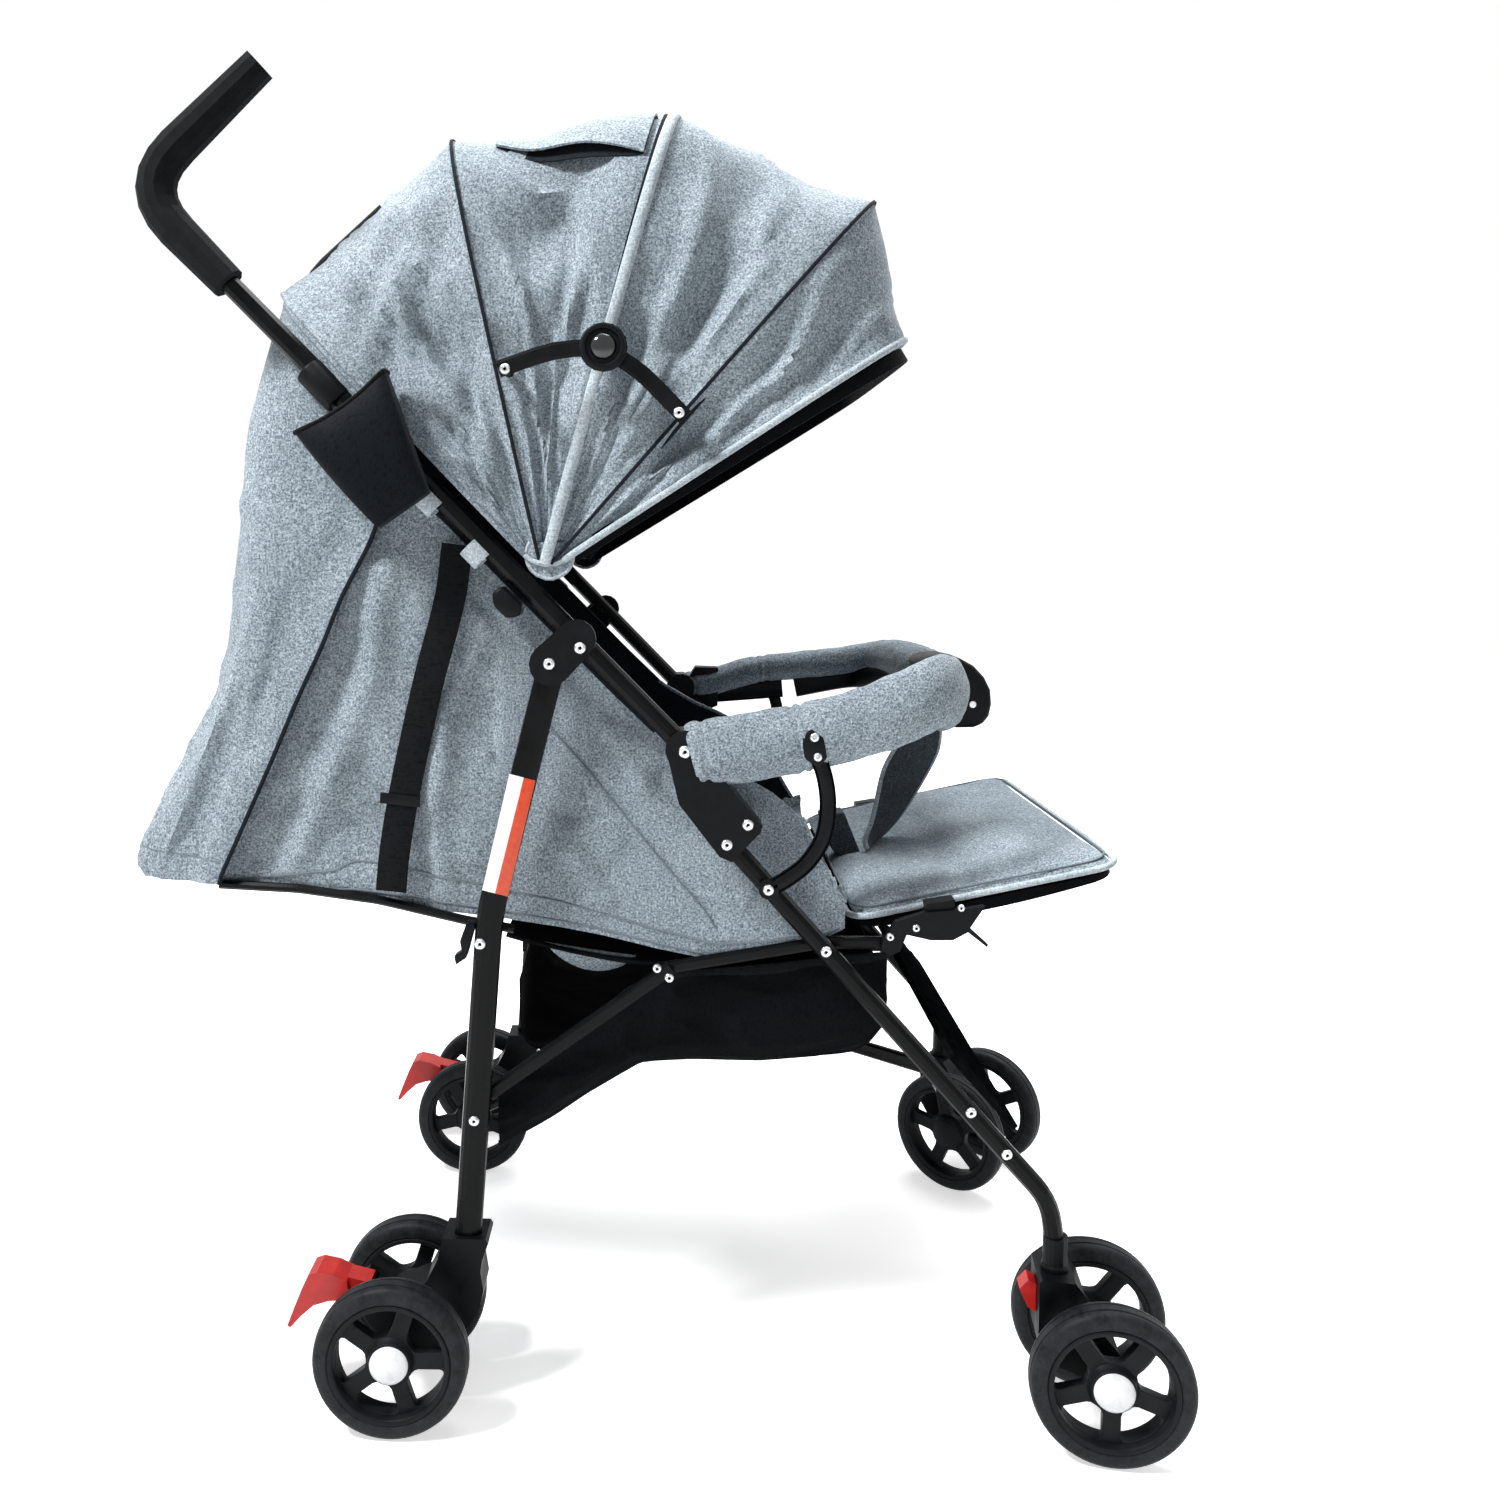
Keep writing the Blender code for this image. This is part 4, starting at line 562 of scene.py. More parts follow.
def web():
    """The spoked disc of a wheel, on the y axis: five windows with rounded corners between two rings."""
    inner, outer, corner = HUB_R + 0.0022, RIM_IN - 0.0008, 0.0035
    radii = [
        HUB_R - 0.003, inner, inner + 0.001, inner + 0.0035, (inner + outer) / 2, outer - 0.0035,
        outer - 0.001, outer, RIM_IN + 0.001,
    ]
    pitch = 2 * math.pi / SPOKES
    fill = 8
    rows = []
    for radius in radii:
        near = min(radius - inner, outer - radius)
        extra = corner - math.sqrt(max(0, corner**2 - (corner - near) ** 2)) if 0 <= near < corner else 0
        half = math.asin(min(0.9, (SPOKE_W / 2 + extra) / radius))
        row = []
        for k in range(SPOKES):
            middle = pitch * k
            row += [middle - half + half * 2 * i / 4 for i in range(5)]
            gap = pitch - 2 * half
            row += [middle + half + gap * i / fill for i in range(1, fill)]
        rows.append([(radius, turn) for turn in row])
    count = len(rows[0])
    points = []
    for y in (-WEB_T / 2, WEB_T / 2):
        for row in rows:
            points += [Vector((r * math.sin(t), y, r * math.cos(t))) for r, t in row]
    layer = len(rows) * count
    per = 4 + fill

    def is_open(i, j):
        return 1 <= i < len(radii) - 2 and j % per >= 4

    faces = []
    for i in range(len(rows) - 1):
        for j in range(count):
            if is_open(i, j):
                continue
            k = (j + 1) % count
            quad = (i * count + j, i * count + k, (i + 1) * count + k, (i + 1) * count + j)
            faces.append(quad)
            faces.append(tuple(q + layer for q in quad)[::-1])
            for a, b, di, dj in ((0, 1, -1, 0), (1, 2, 0, 1), (2, 3, 1, 0), (3, 0, 0, -1)):
                ni, nj = i + di, (j + dj) % count
                if ni < 0 or ni >= len(rows) - 1 or is_open(ni, nj):
                    faces.append((quad[a], quad[a] + layer, quad[b] + layer, quad[b]))
    return points, faces


def wheel(node, body, outward, heading, spin):
    """One wheel: foamed tyre, spoked hub and pressed cap, in place of the plain one."""
    low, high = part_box(node)
    centre = (low + high) / 2 - ORIGIN
    place = Matrix.Translation(centre) @ Matrix.Rotation(math.radians(heading), 4, "Z")
    place = place @ Matrix.Rotation(math.radians(spin), 4, "Y")
    half = WHEEL_W / 2
    tread = [
        (TYRE_IN + 0.0012, -half), (TYRE_IN + 0.004, -half), (WHEEL_R - 0.0042, -half + 0.0004),
        (WHEEL_R - 0.0019, -half + 0.0016), (WHEEL_R - 0.0005, -half + 0.0042),
        (WHEEL_R - 0.0002, -half + 0.0062), (WHEEL_R - 0.001, -half + 0.0066),
        (WHEEL_R - 0.001, -half + 0.0074), (WHEEL_R, -half + 0.0078),
    ]
    profile = tread + [(r, -a) for r, a in tread[::-1]]
    tyre = lathe(profile + [(TYRE_IN, half - 0.001), (TYRE_IN, -half + 0.001)], count=72, closed=True)
    make(f"{node}_tyre", turned(tyre, place), TYRE, body, "tyre", sharp=35, replaces=[node])
    lip = half - 0.0004
    rim = [
        (TYRE_IN - 0.0002, -lip), (TYRE_IN - 0.0014, -lip - 0.0005), (RIM_IN + 0.0006, -lip),
        (RIM_IN, -lip + 0.0009), (RIM_IN - 0.0004, -WEB_T / 2),
    ]
    rim += [(r, -a) for r, a in rim[::-1]]
    rim = lathe(rim, count=72, closed=True)
    boss_w = HUB_W / 2
    boss = [
        (0, -boss_w), (HUB_R - 0.002, -boss_w), (HUB_R - 0.0004, -boss_w + 0.001),
        (HUB_R + 0.0002, -WEB_T / 2 - 0.002), (HUB_R + 0.0022, -WEB_T / 2 + 0.0004),
    ]
    boss += [(r, -a) for r, a in boss[::-1]]
    hub = together([web(), rim, lathe(boss, count=48)])
    make(f"{node}_hub", turned(hub, place), NYLON, body, "moulding", bevel=0.0005, sharp=35)
    face = outward * boss_w
    dome = [
        (0, 0.0042), (0.004, 0.0040), (0.0085, 0.0031), (0.0125, 0.0018), (0.0147, 0.0006),
        (0.0151, -0.0006), (0, -0.0006),
    ]
    cap = lathe([(r, face + outward * a) for r, a in dome], count=40)
    make(f"{node}_cap", turned(cap, place), CAP if "outer" in node else NYLON, body, "moulding", sharp=50)


# In degrees: where the casters head in the photograph, and how far the spokes have turned
CASTER_HEADING = {"right": -7.4, "left": -40.4}
REAR_SPIN = {"right": 17, "left": 40}
FRONT_SPIN = {"right": 36, "left": 59}
for side, sign in SIDES:
    for rank, out in (("outer", 1), ("inner", -1)):
        node = f"rear_wheel_{rank}_{side}"
        wheel(node, node, sign * out, 0, REAR_SPIN[side])
        node = f"front_wheel_{rank}_{side}"
        wheel(node, node, sign * out, CASTER_HEADING[side], FRONT_SPIN[side])


# Rivets, pins and caps
def rivet(x, y, z, sign, radius=0.0052, height=0.0022):
    """The head of a hollow rivet on the outer face at y: a rolled rim round a deep eye."""
    profile = [
        (0, 0.0003), (radius * 0.24, 0.0003), (radius * 0.27, height * 0.7), (radius * 0.4, height),
        (radius * 0.62, height), (radius * 0.84, height * 0.8), (radius * 0.98, height * 0.35),
        (radius * 1.03, 0), (radius * 0.95, -0.0008), (0, -0.0008),
    ]
    return lathe([(r, sign * a) for r, a in profile], (x, y, z), count=28)


def rivet_eye_shade(x, y, z, sign, radius=0.0052, height=0.0022):
    """A black disc at the floor of that eye: painted shade for the depth of the hollow."""
    profile = [(0, height * 0.32), (radius * 0.24, height * 0.28), (radius * 0.24, 0), (0, 0)]
    return lathe([(r, sign * a) for r, a in profile], (x, y, z), count=16)


# Each rivet is x, y outwards, z and its radius, before RIVET_SCALE.
RIVETS = {
    "frame": [
        (0.2206, 0.2125, 0.527, 0.0058),
        (0.2695, 0.2125, 0.4713, 0.0052),
        (0.2536, 0.2125, 0.4555, 0.0052),
        (0.2858, 0.2135, 0.4213, 0.005),
        (0.3314, 0.2072, 0.3718, 0.005),
        (0.4456, 0.2072, 0.247, 0.0048),
        (0.4741, 0.2072, 0.2143, 0.0048),
        (0.1161, 0.2143, 0.5936, 0.0054),
        (0.1397, 0.2143, 0.6061, 0.0054),
    ],
    "rear_leg": [
        (0.0625, 0.2069, 0.3727, 0.0052),
        (0.0581, 0.2069, 0.231, 0.0048),
        (0.0568, 0.2069, 0.118, 0.004),
    ],
    "stretcher_rear": [(0.0845, 0.2363, 0.8138, 0.0048)],
    "stretcher_front": [(0.2131, 0.2309, 0.783, 0.005)],
    "strut": [(0.2105, 0.1914, 0.3432, 0.0044), (0.2008, 0.1914, 0.3505, 0.0042)],
    "ratchet": [
        (0.3834, 0.1915, 0.3793, 0.0038),
        (0.4381, 0.1915, 0.4034, 0.0034),
        (0.4035, 0.1915, 0.3868, 0.0036),
    ],
}
BODY_OF = {"ratchet": {"right": "leg_rest", "left": "left_ratchet"}}
RIVET_SCALE = 0.86
for group, rows in RIVETS.items():
    for side, sign in SIDES:
        body = BODY_OF.get(group, {}).get(side, f"{side}_{group}")
        # The black discs in the rivets' eyes are painted shade in their hollows, not a dark part.
        for label, shape, finish in (("rivets", rivet, ZINC), ("rivet_eye_shades", rivet_eye_shade, STEEL)):
            heads = together([shape(x, sign * y, z, sign, r * RIVET_SCALE) for x, y, z, r in rows])
            make(f"{label}_{group}_{side}", heads, finish, body, "tube", sharp=50)


# Canopy
APEX = (0.109, 0.662)
CANOPY_HALF = 0.208
VISOR_TURN = 33.5
FRONT_BOW = 48.9
MIDDLE_BOW = 75.2
REAR_BOW = 102.8
BACK_TURN = 134.0
# Each panel between two bows: a turn of the fan in degrees, and how far the crown is from the apex there
PANELS = (
    [(VISOR_TURN, 0.346), (41.5, 0.370), (FRONT_BOW, 0.398)],
    [(FRONT_BOW, 0.398), (57.5, 0.381), (66.0, 0.377), (MIDDLE_BOW, 0.382)],
    [(MIDDLE_BOW, 0.382), (84.0, 0.366), (91.5, 0.349), (97.0, 0.352), (REAR_BOW, 0.360)],
    [(REAR_BOW, 0.360), (110.0, 0.340), (118.0, 0.324), (126.0, 0.318), (BACK_TURN, 0.317)],
)
CANOPY_COLUMNS = 97
CANOPY_DEPTH = 1.7


def reach(turn):
    """How far the crown is from the apex at a turn of the fan, and where in its panel that is, 0 to 1."""
    for panel in PANELS:
        if turn <= panel[-1][0] + 1e-6:
            line = catmull(panel, 10)
            part = (turn - panel[0][0]) / (panel[-1][0] - panel[0][0])
            return float(np.interp(turn, line[:, 0], line[:, 1])), min(max(part, 0), 1)
    return PANELS[-1][-1][1], 1.0


LOBE_TURN = 83.75
LOBE_UP = 0.034
LOBE_RADIUS = 0.0262


def lobe(turn):
    """Where the cloth starts above the apex: the tip is cut to a round lobe, not to a point."""
    c, s = math.cos(math.radians(turn - LOBE_TURN)), math.sin(math.radians(turn - LOBE_TURN))
    return LOBE_UP * c - math.sqrt(max(0, LOBE_RADIUS**2 - (LOBE_UP * s) ** 2))


def arch(turn, out=0.0, columns=CANOPY_COLUMNS):
    """The canopy across, from the right foot over the crown to the left one, out metres outside its cloth."""
    foot = lobe(turn)
    top, part = reach(turn)
    top += out
    w = CANOPY_HALF + out - 0.005 * math.sin(math.pi * part)
    half = [
        (w - 0.009, foot), (w - 0.0045, 0.15 * top), (w - 0.0015, 0.3 * top), (w, 0.58 * top),
        (w - 0.006, 0.78 * top), (w - 0.026, 0.92 * top), (w - 0.07, 0.985 * top), (0, top),
    ]
    whole = [(-y, up) for y, up in half] + [(y, up) for y, up in half[-2::-1]]
    line = spaced(catmull(whole, 10), columns)
    c, s = math.cos(math.radians(turn)), math.sin(math.radians(turn))
    return np.array([(APEX[0] + up * c, y, APEX[1] + up * s) for y, up in line]), line


def canopy_net(turns, out=0.0):
    """The canopy's cloth over those turns of the fan, with its folds."""
    net, ups = [], []
    for turn in turns:
        row, line = arch(turn, out)
        net.append(row)
        ups.append(line[:, 1])
    net = np.array(net)
    facing = outward(net, (APEX[0], 0, APEX[1]))
    for i, turn in enumerate(turns):
        top, part = reach(turn)
        slack = math.sin(math.pi * part) ** 0.9
        for j in range(CANOPY_COLUMNS):
            up, y = ups[i][j] / top, net[i, j, 1]
            side = 1 if y < 0 else 2
            # Folds fan out from the tip, and a few cross them where the cloth is slack.
            fan = wave(turn * 0.16, up * 1.1, side) * 0.005 + ridge(turn * 0.3, up * 1.6, side, 3) * 0.0024
            fan *= 1.3 - up
            cross = wave(turn * 0.05 + up * 3.2, up * 5.5 - turn * 0.07, side, 5) * 0.0105
            cross += ridge(turn * 0.09 - up * 2.2, up * 3.2 + turn * 0.025, side, 9) * 0.008
            tail = min(1, max(0, (turn - 100) / 8))
            cross += tail * ridge((up - (BACK_TURN - turn) * 0.011) * 8, turn * 0.03, side, 17) * 0.0065
            crown = wave(turn * 0.07, y * 11, 4, 7) * 0.006 + ridge(turn * 0.1, y * 16, 2, 11) * 0.003
            low = min(1, max(0, (0.98 - up) * 5)) * min(1, up * 2.4)
            height = slack * (low * (fan + cross) + (1 - low) * crown * min(1, up * 2))
            net[i, j] += facing[i, j] * max(-0.015, min(0.0085, height * CANOPY_DEPTH))
    return net


def fan_side(turn):
    """Square to the canopy's cloth at that turn of the fan."""
    return (-math.sin(math.radians(turn)), 0, math.cos(math.radians(turn)))


rear_turns = np.concatenate([np.linspace(MIDDLE_BOW, REAR_BOW, 32), np.linspace(REAR_BOW, BACK_TURN, 34)[1:]])
front_turns = np.concatenate([
    np.linspace(VISOR_TURN, FRONT_BOW, 18),
    np.linspace(FRONT_BOW, MIDDLE_BOW, 30)[1:],
    [MIDDLE_BOW + 0.6],
])
INSIDE_CANOPY = ("from", (APEX[0] + 0.05, 0, APEX[1] + 0.08))


def bow_trim(name, turn, out, section, material, body, slot="cloth", **finish):
    """A strip or a cord along the canopy, from foot to foot, at that turn of the fan."""
    trim(name, sweep(arch(turn, out)[0], section, fan_side(turn)), material, body, slot, **finish)


bow_trim("bow_strip_front", FRONT_BOW, -0.0055, strap(0.011, 0.0036), ABS, "canopy_front", "moulding",
         replaces=["canopy_bow_front"])
cloth("canopy_rear", canopy_net(rear_turns), FABRIC, 0.0016, INSIDE_CANOPY,
      replaces=["canopy"])
cloth(
    "canopy_front", canopy_net(front_turns, 0.0018), FABRIC, 0.0016, INSIDE_CANOPY,
    body="canopy_front",
)
for side, sign in SIDES:
    rim = []
    for turn in np.linspace(VISOR_TURN, BACK_TURN, 40):
        c, s = math.cos(math.radians(turn)), math.sin(math.radians(turn))
        up = lobe(turn)
        rim.append((APEX[0] + up * c, sign * (CANOPY_HALF - 0.0075), APEX[1] + up * s))
    trim(f"canopy_lobe_{side}", sweep(rim, ring(0.0021, 10)), PIPING)

# The cloth button at the tip, on the lobe
TIP = (0.1145, 0.6765)
TIP_RADIUS = 0.0182
for side, sign in SIDES:
    net = np.zeros((12, 21, 3))
    for i in range(12):
        drop = 0.55 - 1.54 * i / 11
        for j in range(21):
            across = (2 * j / 20 - 1) * math.sqrt(1 - drop * drop)
            swell = 0.0022 * (1 - across**2 - 0.6 * drop**2)
            y = sign * (CANOPY_HALF - 0.0102 + swell)
            net[i, j] = (TIP[0] + TIP_RADIUS * across, y, TIP[1] + TIP_RADIUS * drop)
    rim = [tuple(p) for p in net[:, 0]] + [tuple(p) for p in net[::-1, -1]]
    rim = trim(f"canopy_tip_piping_{side}", sweep(spaced(rim, 48), ring(0.0016, 8)), PIPING)
    cloth(
        f"canopy_tip_{side}", net, FABRIC, 0.0014, ("along", (0, sign, 0)),
    )
bow_trim("canopy_seam_front", FRONT_BOW, 0.0034, strap(0.0028, 0.0012), LINING, "canopy_front")
bow_trim("canopy_seam_rear", REAR_BOW, 0.0014, strap(0.0028, 0.0012), LINING, "right_frame")
flat_piping = [(a * 1.5, b) for a, b in ring(0.0031)]
bow_trim("canopy_piping_middle", MIDDLE_BOW - 0.5, 0.003, flat_piping, PIPING, "canopy_front")
bow_trim("canopy_seam_middle", MIDDLE_BOW + 0.45, 0.0026, strap(0.003, 0.0016), LINING, "canopy_front")
bow_trim("canopy_piping_visor", VISOR_TURN, 0.0018, ring(0.0028, 12), PIPING, "canopy_front")
binding = strap(0.012, 0.0026)
bow_trim("canopy_binding_visor", VISOR_TURN - 1.6, -0.004, binding, OXFORD, "canopy_front", "black_cloth")
bow_trim("canopy_piping_rear", BACK_TURN, 0.0, ring(0.002, 12), HEATHER, "right_frame")


# Curtain: the long back flap, from the canopy's rear edge down to the frame. Each row is a share of the
# way down, with x and z there, for the middle of the back and for the front edges.
CURTAIN_Y = 0.1902
CURTAIN_START = 0.172
CURTAIN_REAR = [
    (0, -0.117, 0.893), (0.08, -0.124, 0.856), (0.2, -0.133, 0.8), (0.34, -0.142, 0.735),
    (0.47, -0.146, 0.675), (0.57, -0.151, 0.628), (0.67, -0.16, 0.58), (0.79, -0.187, 0.52),
    (0.9, -0.216, 0.468), (0.97, -0.235, 0.43), (1.0, -0.229, 0.4135),
]
CURTAIN_FRONT = [
    (0, -0.012, 0.782), (0.08, -0.012, 0.764), (0.2, -0.018, 0.732), (0.34, -0.024, 0.694),
    (0.47, -0.05, 0.642), (0.57, -0.066, 0.603), (0.67, -0.085, 0.562), (0.79, -0.108, 0.508),
    (0.9, -0.131, 0.456), (0.97, -0.147, 0.42), (1.0, -0.149, 0.4115),
]


def curtain_net(rows=64, columns=121):
    """Rows of cloth from the canopy's rear edge down to the hem, each one round the back."""
    rear, front = catmull(CURTAIN_REAR, 12), catmull(CURTAIN_FRONT, 12)
    edge, edge_line = arch(BACK_TURN, -0.0015, columns=181)
    start = spaced(edge[edge_line[:, 1] > CURTAIN_START], columns)
    net = []
    for i in range(rows):
        t = i / (rows - 1)
        rx, rz = (np.interp(t, rear[:, 0], rear[:, k]) for k in (1, 2))
        fx, fz = (np.interp(t, front[:, 0], front[:, k]) for k in (1, 2))
        y = CURTAIN_Y
        half = [
            (fx, -y, fz), (fx + (rx - fx) * 0.35, -y, fz + (rz - fz) * 0.35),
            (fx + (rx - fx) * 0.72, -y + 0.003, fz + (rz - fz) * 0.75), (rx + 0.012, -y + 0.02, rz),
            (rx, -y + 0.058, rz), (rx - 0.001, -0.066, rz), (rx, 0, rz),
        ]
        whole = half + [(x, -y2, z) for x, y2, z in half[-2::-1]]
        row = spaced(catmull(whole, 8), columns)
        ease = max(0, 1 - t / 0.2)
        ease = ease * ease * (3 - 2 * ease)
        hang = start.copy()
        hang[:, 2] -= 0.05 * t / 0.2
        net.append(hang * ease + row * (1 - ease))
    net = np.array(net)
    facing = outward(net, (-0.05, 0, 0.6))
    for i in range(rows):
        t = i / (rows - 1)
        for j in range(columns):
            s = j / (columns - 1)
            edge = min(1, min(s, 1 - s) * 14)
            drape = wave(s * 13, t * 1.6, 2) * 0.012 + ridge(s * 15 + t, t * 1.4, 5, 2) * 0.006
            tug = wave(s * 4 + t * 5, t * 9 - s * 6, 1, 4) * 0.006
            tug += ridge(s * 6 - t * 4, t * 7 + s * 3, 1, 14) * 0.003
            fall = min(1, t * 4) * (0.35 + 0.65 * t)
            hem = 0.0008 * (1 if t > 0.955 else 0)
            height = edge * fall * (drape + tug) + hem
            on_side = min(1, max(0, (0.185 - abs(net[i, j, 1])) / 0.02))
            height = max(-0.006, min(height, 0.001)) if on_side < 0.5 else max(-0.012, min(0.012, height))
            net[i, j] += facing[i, j] * height
    return net


CURTAIN = curtain_net()
for label, column in (("right", CURTAIN[6:, 0]), ("left", CURTAIN[6:, -1])):
    edge = sweep(spaced(column, 60), strap(0.0034, 0.0042), (1, 0, 0))
    trim(f"curtain_binding_{label}", edge, LINING)
for label, row in (("low", CURTAIN[-4, 1:-1]), ("high", CURTAIN[2, 3:-3])):
    stitch = sweep(spaced(row, 150), ring(0.0012, 6), (0, 0, 1))
    trim(f"curtain_stitch_{label}", stitch, THREAD)
cloth(
    "curtain", CURTAIN, FABRIC, 0.0016, ("from", (-0.03, 0, 0.6)),
    replaces=["curtain"],
)


# Seat: side panels, the pan between them and the flat back. HEM and WALL are the panels' lower and upper
# edges in x and z.
HEM = [
    (-0.152, 0.4095), (-0.088, 0.4035), (-0.023, 0.3955), (0.025, 0.3895), (0.074, 0.3845), (0.122, 0.378),
    (0.155, 0.372), (0.203, 0.361), (0.247, 0.353), (0.283, 0.358), (0.323, 0.367), (0.35, 0.381),
]
WALL = [
    (-0.152, 0.416), (-0.13, 0.47), (-0.108, 0.52), (-0.06, 0.635), (-0.045, 0.735), (-0.018, 0.745),
    (0.03, 0.702), (0.09, 0.642), (0.12, 0.612), (0.16, 0.572), (0.2, 0.534), (0.235, 0.514),
    (0.262, 0.503), (0.29, 0.488), (0.314, 0.468), (0.328, 0.436), (0.345, 0.408), (0.35, 0.402),
]
PANEL_Y = 0.1768
PANEL_REAR, PANEL_FRONT = -0.152, 0.35
PANEL_DEPTH = 1.25


def crease(x, z, path, width, depth):
    """A narrow fold or stitched line along a path in the panel."""
    best = 1.0
    for (x0, z0), (x1, z1) in zip(path, path[1:]):
        dx, dz = x1 - x0, z1 - z0
        t = min(1, max(0, ((x - x0) * dx + (z - z0) * dz) / (dx * dx + dz * dz)))
        best = min(best, math.hypot(x - x0 - t * dx, z - z0 - t * dz))
    return depth * math.exp(-((best / width) ** 2))


DIAGONAL = [
    (0.109, 0.545), (0.138, 0.512), (0.17, 0.4735), (0.202, 0.435), (0.2345, 0.398), (0.2475, 0.379),
]
FOLD = [(0.049, 0.648), (0.089, 0.601), (0.109, 0.561)]
# Each fold is its path in x and z, its width and its height outwards.
LONG_FOLDS = (
    ([(0.06, 0.62), (0.03, 0.55), (0.02, 0.47), (0.03, 0.41)], 0.010, 0.0055),
    ([(-0.02, 0.66), (-0.03, 0.58), (-0.06, 0.5), (-0.09, 0.43)], 0.012, 0.0055),
    ([(0.075, 0.51), (0.11, 0.49), (0.13, 0.47)], 0.008, -0.0042),
    ([(0.16, 0.54), (0.19, 0.49), (0.24, 0.45)], 0.009, 0.0045),
    ([(0.205, 0.5), (0.25, 0.44), (0.3, 0.4)], 0.008, -0.0042),
    ([(0.13, 0.44), (0.16, 0.4), (0.2, 0.375)], 0.009, 0.0042),
)


def panel_net(sign, rows=46, columns=130):
    """A side panel of the seat, with its folds and its stitched seam."""
    net = np.zeros((rows, columns, 3))
    for j in range(columns):
        x = PANEL_REAR + (PANEL_FRONT - PANEL_REAR) * j / (columns - 1)
        low, high = table(HEM, x), table(WALL, x)
        for i in range(rows):
            t = i / (rows - 1)
            z = low + (high - low) * t
            inner = min(1, t * 10, (1 - t) * 10, j / 6, (columns - 1 - j) / 6)
            height = wave(x * 12, z * 10, sign, 1) * 0.009 + wave(x * 30 + z * 14, z * 24, sign, 2) * 0.003
            height += ridge(x * 9 + z * 16, z * 15 - x * 5, sign, 12) * 0.0022
            for path, width, depth in LONG_FOLDS:
                height += crease(x, z, path, width, depth)
            forward = min(1, max(0, (x - 0.255) / 0.03))
            height += ridge(x * 34 + z * 12, z * 26 - x * 12, sign, 21) * 0.0034 * forward
            height = height * inner
            height += crease(x, z, DIAGONAL, 0.0028, -0.0016) + crease(x, z, FOLD, 0.005, -0.0024)
            height = max(-0.001 if x > 0.07 else -0.0045, min(height, 0.0016 if z < 0.42 else 0.0085))
            net[i, j] = (x, sign * (PANEL_Y + height * PANEL_DEPTH), z)
    return net


for side, sign in SIDES:
    net = panel_net(sign)
    edge = spaced(net[-1, 2:], 90)
    for label, keep, finish in (("rear", edge[:, 0] <= 0.2, LINING), ("front", edge[:, 0] > 0.197, HEATHER)):
        bound = sweep(edge[keep], strap(0.0036, 0.0042), (0, 0, 1))
        trim(f"panel_binding_{label}_{side}", bound, finish)
    for row, label in ((1, "low"), (4, "high")):
        line = spaced(net[row, 1:-1] + np.array([0, sign * 0.0008, 0]), 140)
        trim(f"panel_stitch_{label}_{side}", sweep(line, ring(0.0009, 6), (0, 0, 1)), THREAD)
    line = np.array([(x, sign * (PANEL_Y + 0.0012), z) for x, z in spaced(catmull(DIAGONAL, 6), 40)])
    trim(f"panel_seam_{side}", sweep(line, ring(0.0008, 6), (0, 0, 1)), THREAD)
    cloth(f"seat_side_{side}", net, FABRIC, 0.0016, ("along", (0, sign, 0)))

# Each row of the pan is x, the height of its base and the height of its walls.
PAN_REAR, PAN_FRONT = 0.088, 0.352
PAN = [
    (0.088, 0.388, 0.46), (0.12, 0.387, 0.45), (0.16, 0.385, 0.445), (0.202, 0.383, 0.44),
    (0.235, 0.382, 0.435), (0.27, 0.382, 0.425), (0.31, 0.384, 0.415), (0.335, 0.387, 0.405),
    (0.352, 0.392, 0.4),
]
SEAT_HALF = 0.1712


def pan_net(rows=52, columns=61):
    """The seat pan across: up the right wall, over the base and up the left wall."""
    stations = catmull(PAN, 8)
    net = []
    for i in range(rows):
        x = PAN_REAR + (PAN_FRONT - PAN_REAR) * i / (rows - 1)
        base = np.interp(x, stations[:, 0], stations[:, 1]) + 0.003
        high = np.interp(x, stations[:, 0], stations[:, 2])
        half = [
            (-SEAT_HALF, high), (-SEAT_HALF, base + 0.02), (-SEAT_HALF + 0.005, base + 0.005),
            (-SEAT_HALF + 0.02, base), (-0.09, base - 0.001), (0, base - 0.002),
        ]
        line = spaced(catmull(half + [(-y, z) for y, z in half[-2::-1]], 8), columns)
        row = []
        for j, (y, z) in enumerate(line):
            flat = min(1, max(0, (SEAT_HALF - 0.006 - abs(y)) * 40))
            gather = max(0, (x - 0.29) / 0.06) * wave(y * 60, x * 8, 3) * 0.005
            lie = wave(x * 14, y * 12, 1, 6) * 0.0024
            thigh = 0.0035 * bump(y, 0.085 * (1 if y > 0 else -1), 0.05)
            row.append((x, y, z + flat * (gather + lie + thigh)))
        net.append(row)
    return np.array(net)


cloth("seat_pan", pan_net(), FABRIC, 0.004, ("along", (0, 0, 1)), replaces=["seat"])


# Padded pieces: grown by cloth pressure from a slim start, then capped
def puff(obj, pressure, cap, voxel=0.005, steps=20):
    remesh = obj.modifiers.new("voxel", "REMESH")
    remesh.mode = "VOXEL"
    remesh.voxel_size = voxel
    apply_modifiers(obj)
    start = np.array([v.co for v in obj.data.vertices])
    fabric = obj.modifiers.new("cloth", "CLOTH")
    fabric.settings.use_pressure = True
    fabric.settings.uniform_pressure_force = pressure
    fabric.settings.effector_weights.gravity = 0
    fabric.point_cache.frame_end = steps
    for step in range(1, steps + 1):
        bpy.context.scene.frame_set(step)
    depsgraph = bpy.context.evaluated_depsgraph_get()
    swollen = np.array([v.co for v in obj.evaluated_get(depsgraph).data.vertices])
    obj.modifiers.clear()
    move = swollen - start
    far = np.linalg.norm(move, axis=1, keepdims=True)
    move *= np.minimum(1, cap / np.maximum(far, 1e-9))
    obj.data.vertices.foreach_set("co", (start + move).ravel())
    bpy.context.scene.frame_set(1)
    smooth = obj.modifiers.new("subdivide", "SUBSURF")
    smooth.levels = smooth.render_levels = 1
    apply_modifiers(obj)


